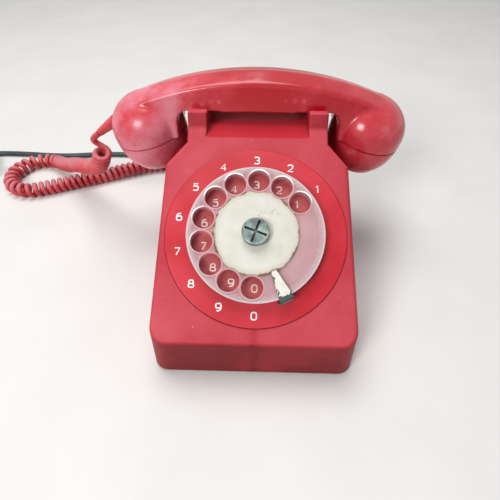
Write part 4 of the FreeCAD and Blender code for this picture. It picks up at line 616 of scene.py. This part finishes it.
sleeve_root = Vector((-0.1075, 0.0536, 0.1076))
sleeve_tip = Vector((-0.122, 0.051, 0.098))
sleeve_heading = (sleeve_tip - sleeve_root).normalized()
sleeve_clearance = 0.0008
curl_start = sleeve_tip + sleeve_heading * sleeve_clearance
curl_end = Vector((-0.040, 0.104132, 0.015))
curl_route = [
    (-0.1240, 0.0490, 0.0815), (-0.1275, 0.0520, 0.0745), (-0.1325, 0.0570, 0.0655), (-0.1410, 0.0665, 0.0545),
    (-0.1580, 0.0835, 0.0420), (-0.1810, 0.1040, 0.0300), (-0.2030, 0.1245, 0.0140), (-0.2225, 0.1408, 0.0075),
    (-0.2415, 0.1414, 0.0075), (-0.2564, 0.1298, 0.0075), (-0.2603, 0.1112, 0.0075), (-0.2514, 0.0945, 0.0075),
    (-0.2339, 0.0874, 0.0075), (-0.2120, 0.0955, 0.0075), (-0.1870, 0.1060, 0.0075), (-0.1630, 0.1160, 0.0075),
    (-0.1410, 0.1275, 0.0075), (-0.1190, 0.1370, 0.0075), (-0.0970, 0.1410, 0.0075), (-0.0750, 0.1395, 0.0075),
    (-0.0575, 0.1330, 0.0090), (-0.0455, 0.1235, 0.0125), (-0.0400, 0.1135, 0.0150), curl_end,
]
curl_wire = 0.0048
curl_radius = 0.0051
pitch_on_table = 0.0059
pitch_hanging = 0.0057
curl_lead_reach = 0.010
curl_lead_points = 20
curl_tail = 0.044
curl_ramp = 0.014
points_per_curl = 18
first_phase = math.radians(320.0)
hang_from = 0.020
hang_range = 0.020
bend_look = 6
bend_least_length = 0.004
tightest_squeeze = 0.4
end_stretch = 2
curl_sides = 4
curl_shade_reach = 0.004


def curled(line):
    """The jacket's own line: a lead from the sleeve, then curls wound round a route, easing to it at the end."""
    lengths = [0.0]
    for a, b in zip(line, line[1:]):
        lengths.append(lengths[-1] + (b - a).length)
    sides = [(line[1] - line[0]).cross(Vector((0, 0, 1))).normalized()]
    for i in range(1, len(line)):
        along = (line[min(i + 1, len(line) - 1)] - line[i - 1]).normalized()
        sides.append((sides[-1] - along * sides[-1].dot(along)).normalized())
    last = lengths[-1] - curl_tail
    wound = []
    i = 0
    distance = 0.0
    phase = first_phase
    while distance < lengths[-1]:
        while lengths[i + 1] < distance:
            i += 1
        share = (distance - lengths[i]) / (lengths[i + 1] - lengths[i])
        spot = line[i].lerp(line[i + 1], share)
        along = (line[i + 1] - line[i]).normalized()
        side = sides[i].lerp(sides[i + 1], share)
        side = (side - along * side.dot(along)).normalized()
        near = max(0.0, min(1.0, (last - distance) / curl_ramp))
        swell = curl_radius * near * near * (3 - 2 * near)
        wound.append(spot + (side * math.cos(phase) + along.cross(side) * math.sin(phase)) * swell)
        hang = max(0.0, min(1.0, (spot.z - hang_from) / hang_range))
        before = line[i] - line[max(0, i - bend_look)]
        after = line[min(i + 1 + bend_look, len(line) - 1)] - line[i + 1]
        bend = before.angle(after, 0.0) / max(before.length + after.length, bend_least_length) * 2
        pitch = pitch_on_table + (pitch_hanging - pitch_on_table) * hang
        pitch /= 1 - min(tightest_squeeze, curl_radius * bend)
        pitch *= 1 + end_stretch * (1 - near)
        distance += pitch / points_per_curl
        phase += 2 * math.pi / points_per_curl
    wound[-1] = line[-1]
    leave = curl_start + sleeve_heading * curl_lead_reach
    arrive = wound[0] - (wound[1] - wound[0]).normalized() * curl_lead_reach
    lead = []
    for k in range(curl_lead_points):
        t = k / curl_lead_points
        lead.append((1 - t) ** 3 * curl_start + 3 * (1 - t) ** 2 * t * leave
                    + 3 * (1 - t) * t * t * arrive + t ** 3 * wound[0])
    return lead + wound


def jacket_tube(name, line, diameter, sides):
    """A round mesh tube along a line of points."""
    curve = bpy.data.curves.new(name, "CURVE")
    curve.dimensions = "3D"
    curve.bevel_depth = diameter / 2
    curve.bevel_resolution = sides
    curve.use_fill_caps = True
    spline = curve.splines.new("POLY")
    spline.points.add(len(line) - 1)
    for point, spot in zip(spline.points, line):
        point.co = (*spot, 1.0)
    holder = bpy.data.objects.new(name, curve)
    mesh = bpy.data.meshes.new_from_object(holder)
    bpy.data.objects.remove(holder)
    bpy.data.curves.remove(curve)
    mesh.shade_smooth()
    piece = bpy.data.objects.new(name, mesh)
    bpy.context.scene.collection.objects.link(piece)
    return piece


# Extruded PVC: soft red and dusty pink on the tops of the curls, with painted shade darkening the gaps between
# them
dusty_pvc, tree, shader, place = finish("red_pvc_extruded_dusty", Specular_IOR_Level=0.4)
cloud = add(tree, "TexNoise", {"Vector": place, "Scale": 1000 / 24, "Detail": 5.0})
up = add(tree, "SeparateXYZ", {"Vector": add(tree, "TexCoord").outputs["Normal"]})
settle = add(tree, "MapRange", {"Value": up.outputs["Z"], "From Min": 0.2, "From Max": 1.0,
                                "To Min": -0.1, "To Max": 0.35})
dust = add(tree, "Math", {0: cloud.outputs["Fac"], 1: settle.outputs["Result"]},
           operation="ADD", use_clamp=True)
colour = add(tree, "ValToRGB", {"Fac": dust.outputs["Value"]},
             [(0.3, "#B52F38"), (0.85, "#CB7A80"), (0.55, "#CC4A51")])
# Painted shade: a darker red where ambient occlusion finds the gaps between the curls.
crease = add(tree, "AmbientOcclusion", {"Distance": curl_shade_reach}, samples=8)
painted_shade = add(tree, "MapRange", {"Value": crease.outputs["AO"], "From Min": 0.2, "From Max": 0.7,
                              "To Min": 0.6, "To Max": 0.0})
shade_mixed = add(tree, "MixRGB", {"Fac": painted_shade.outputs["Result"], "Color1": colour.outputs["Color"],
                             "Color2": linear("#5E1B20")})
gloss = add(tree, "MapRange", {"Value": dust.outputs["Value"], "From Min": 0.3, "From Max": 0.9,
                               "To Min": 0.32, "To Max": 0.6})
tree.links.new(shade_mixed.outputs["Color"], shader.inputs["Base Color"])
tree.links.new(gloss.outputs["Result"], shader.inputs["Roughness"])

curl_line = curled(smooth_route("curl_route", curl_route))
curly = jacket_tube("curly_cord", curl_line, curl_wire, curl_sides)
curly.data.materials.append(dusty_pvc)
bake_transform(curly)
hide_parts("handset_cord")
dress(dusty_pvc, "handset_sleeve", "curl_gland")


# The line cord: a plain jacket of extruded dark PVC, with a two-pin plug on its far end.
# It leaves a rubber gland in the back and runs behind the curls to a coil held by a rubber tie.

line_diameter = 0.0055
line_rest = line_diameter / 2
line_route = [
    (-0.0080, 0.104204, 0.0140), (-0.0080, 0.1190, 0.0140), (-0.0140, 0.1340, 0.0095),
    (-0.0270, 0.1470, 0.0050),
    (-0.0480, 0.1550, line_rest), (-0.0760, 0.1575, line_rest), (-0.1040, 0.1585, line_rest),
    (-0.1310, 0.1615, line_rest), (-0.1580, 0.1635, line_rest), (-0.1850, 0.1620, line_rest),
    (-0.2110, 0.1585, line_rest), (-0.2380, 0.1580, line_rest), (-0.2650, 0.1605, line_rest),
    (-0.2900, 0.1610, line_rest),
]
coil_centre = Vector((-0.326, 0.119, 0.0))
coil_inner = 0.0245
coil_step = 0.006
layer_turns = 2.375
climb_turns = 0.5
coil_start = math.radians(96.0)
coil_approach = 0.013
plug_lead = 0.030
points_per_turn = 24


def coil_point(turn):
    """A point of the coil: in along the table, up half a turn, and out again on top."""
    if turn <= layer_turns:
        radius = coil_inner + coil_step * (layer_turns - turn)
        height = line_rest
    elif turn <= layer_turns + climb_turns:
        share = (turn - layer_turns) / climb_turns
        radius = coil_inner - coil_step / (2 * math.pi) * math.sin(math.pi * share)
        height = line_rest + coil_step * share * share * (3 - 2 * share)
    else:
        radius = coil_inner + coil_step * (turn - layer_turns - climb_turns)
        height = line_rest + coil_step
    angle = coil_start + 2 * math.pi * turn
    return coil_centre + Vector((radius * math.cos(angle), radius * math.sin(angle), height))


all_turns = 2 * layer_turns + climb_turns
small_turn = 0.002
heading_in = (coil_point(small_turn) - coil_point(0.0)).normalized()
heading_out = (coil_point(all_turns) - coil_point(all_turns - small_turn)).normalized()
join = coil_point(0.0) - heading_in * line_diameter
turn_count = int(all_turns * points_per_turn)
line_points = line_route + [join - heading_in * coil_approach, join]
line_points += [coil_point(all_turns * k / turn_count) for k in range(turn_count + 1)]
line_points += [coil_point(all_turns) + heading_out * plug_lead * share for share in (0.35, 0.7, 1.0)]

# Extruded PVC: dark grey-green, satin, with a little pale dust
dark_pvc = mottled("dark_pvc_extruded", "#232B2D", "#3A4446", 18.0, 1.0, (0.4, 0.6), 0.02)

line_curve = bpy.data.curves.new("line_cord_jacket", "CURVE")
line_curve.dimensions = "3D"
line_curve.resolution_u = 6
line_curve.bevel_depth = line_diameter / 2
line_curve.bevel_resolution = 4
line_curve.use_fill_caps = True
spline = line_curve.splines.new("NURBS")
spline.points.add(len(line_points) - 1)
for point, spot in zip(spline.points, line_points):
    point.co = (*spot, 1.0)
spline.order_u = 3
spline.use_endpoint_u = True
line_curve.materials.append(dark_pvc)
line_cord = bpy.data.objects.new("line_cord_jacket", line_curve)
bpy.context.scene.collection.objects.link(line_cord)
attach(line_cord, "base")
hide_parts("line_cord", "line_cord_coil")
dress(moulded_rubber, "line_gland", "cord_tie")
dress(phenolic, "plug_body")
dress(stamped_brass, "plug_pins")


# The view: a camera above and in front, and a pale matt floor.
# The light is soft and level, from a ceiling lamp, a window on the left and a white world.

focal_pixels = 380.0
frame_pixels = 500.0
pitch = math.radians(47.9)
yaw = math.radians(-1.1)
roll = math.radians(0.4)
camera_place = (-0.0002, -0.2103, 0.2556)
forward = Vector((math.sin(yaw) * math.cos(pitch), math.cos(yaw) * math.cos(pitch), -math.sin(pitch)))
right = forward.cross(Vector((0, 0, 1))).normalized()
upward = right.cross(forward)
right, upward = (right * math.cos(roll) + upward * math.sin(roll),
                 upward * math.cos(roll) - right * math.sin(roll))
lens = bpy.data.cameras.new("camera")
lens.sensor_width = 36.0
lens.lens = focal_pixels / frame_pixels * lens.sensor_width
lens.clip_start = 0.01
camera = bpy.data.objects.new("camera", lens)
bpy.context.scene.collection.objects.link(camera)
turn = Matrix((right, upward, -forward)).transposed().to_4x4()
camera.matrix_world = Matrix.Translation(camera_place) @ turn
bpy.context.scene.camera = camera

floor_half = 4.0
corners = [(-floor_half, -floor_half, 0), (floor_half, -floor_half, 0),
           (floor_half, floor_half, 0), (-floor_half, floor_half, 0)]
floor_mesh = bpy.data.meshes.new("floor")
floor_mesh.from_pydata(corners, [], [(0, 1, 2, 3)])
floor = bpy.data.objects.new("floor", floor_mesh)
bpy.context.scene.collection.objects.link(floor)
# Plain matt board: pale and even
floor_mesh.materials.append(mottled("pale_board_matt", "#E6E4E0", "#EBE9E5", 80.0, 2.0, (0.8, 0.9), 0.01))

world = bpy.data.worlds.new("studio")
bpy.context.scene.world = world
world.use_nodes = True
tree = world.node_tree
tree.nodes.clear()
rays = add(tree, "LightPath")
seen = add(tree, "Math", {0: rays.outputs["Is Camera Ray"], 1: rays.outputs["Is Glossy Ray"]},
           operation="MAXIMUM")
shown = add(tree, "Math", {0: seen.outputs["Value"], 1: rays.outputs["Is Transmission Ray"]},
            operation="MAXIMUM")
white = add(tree, "Background", {"Color": (1.0, 1.0, 1.0, 1.0), "Strength": 1.0})
soft = add(tree, "Background", {"Color": linear("#F2F4F8"), "Strength": 0.30})
mixed = add(tree, "MixShader", {"Fac": shown.outputs["Value"], 1: soft.outputs["Background"],
                                2: white.outputs["Background"]})
add(tree, "OutputWorld", {"Surface": mixed.outputs["Shader"]})


def lamp(name, place, target, size, power):
    """A square soft lamp that points at a place."""
    light = bpy.data.lights.new(name, "AREA")
    light.size = size
    light.energy = power
    holder = bpy.data.objects.new(name, light)
    bpy.context.scene.collection.objects.link(holder)
    aim = Vector(target) - Vector(place)
    holder.matrix_world = Matrix.Translation(place) @ aim.to_track_quat("-Z", "Y").to_matrix().to_4x4()


lit_place = (0.0, 0.0, 0.08)
lamp("ceiling_light", (-0.15, 0.28, 1.2), lit_place, 0.8, 9.5)
lamp("window_light", (-0.60, -0.85, 0.85), lit_place, 0.4, 9.0)

bpy.context.scene.view_settings.view_transform = "Standard"
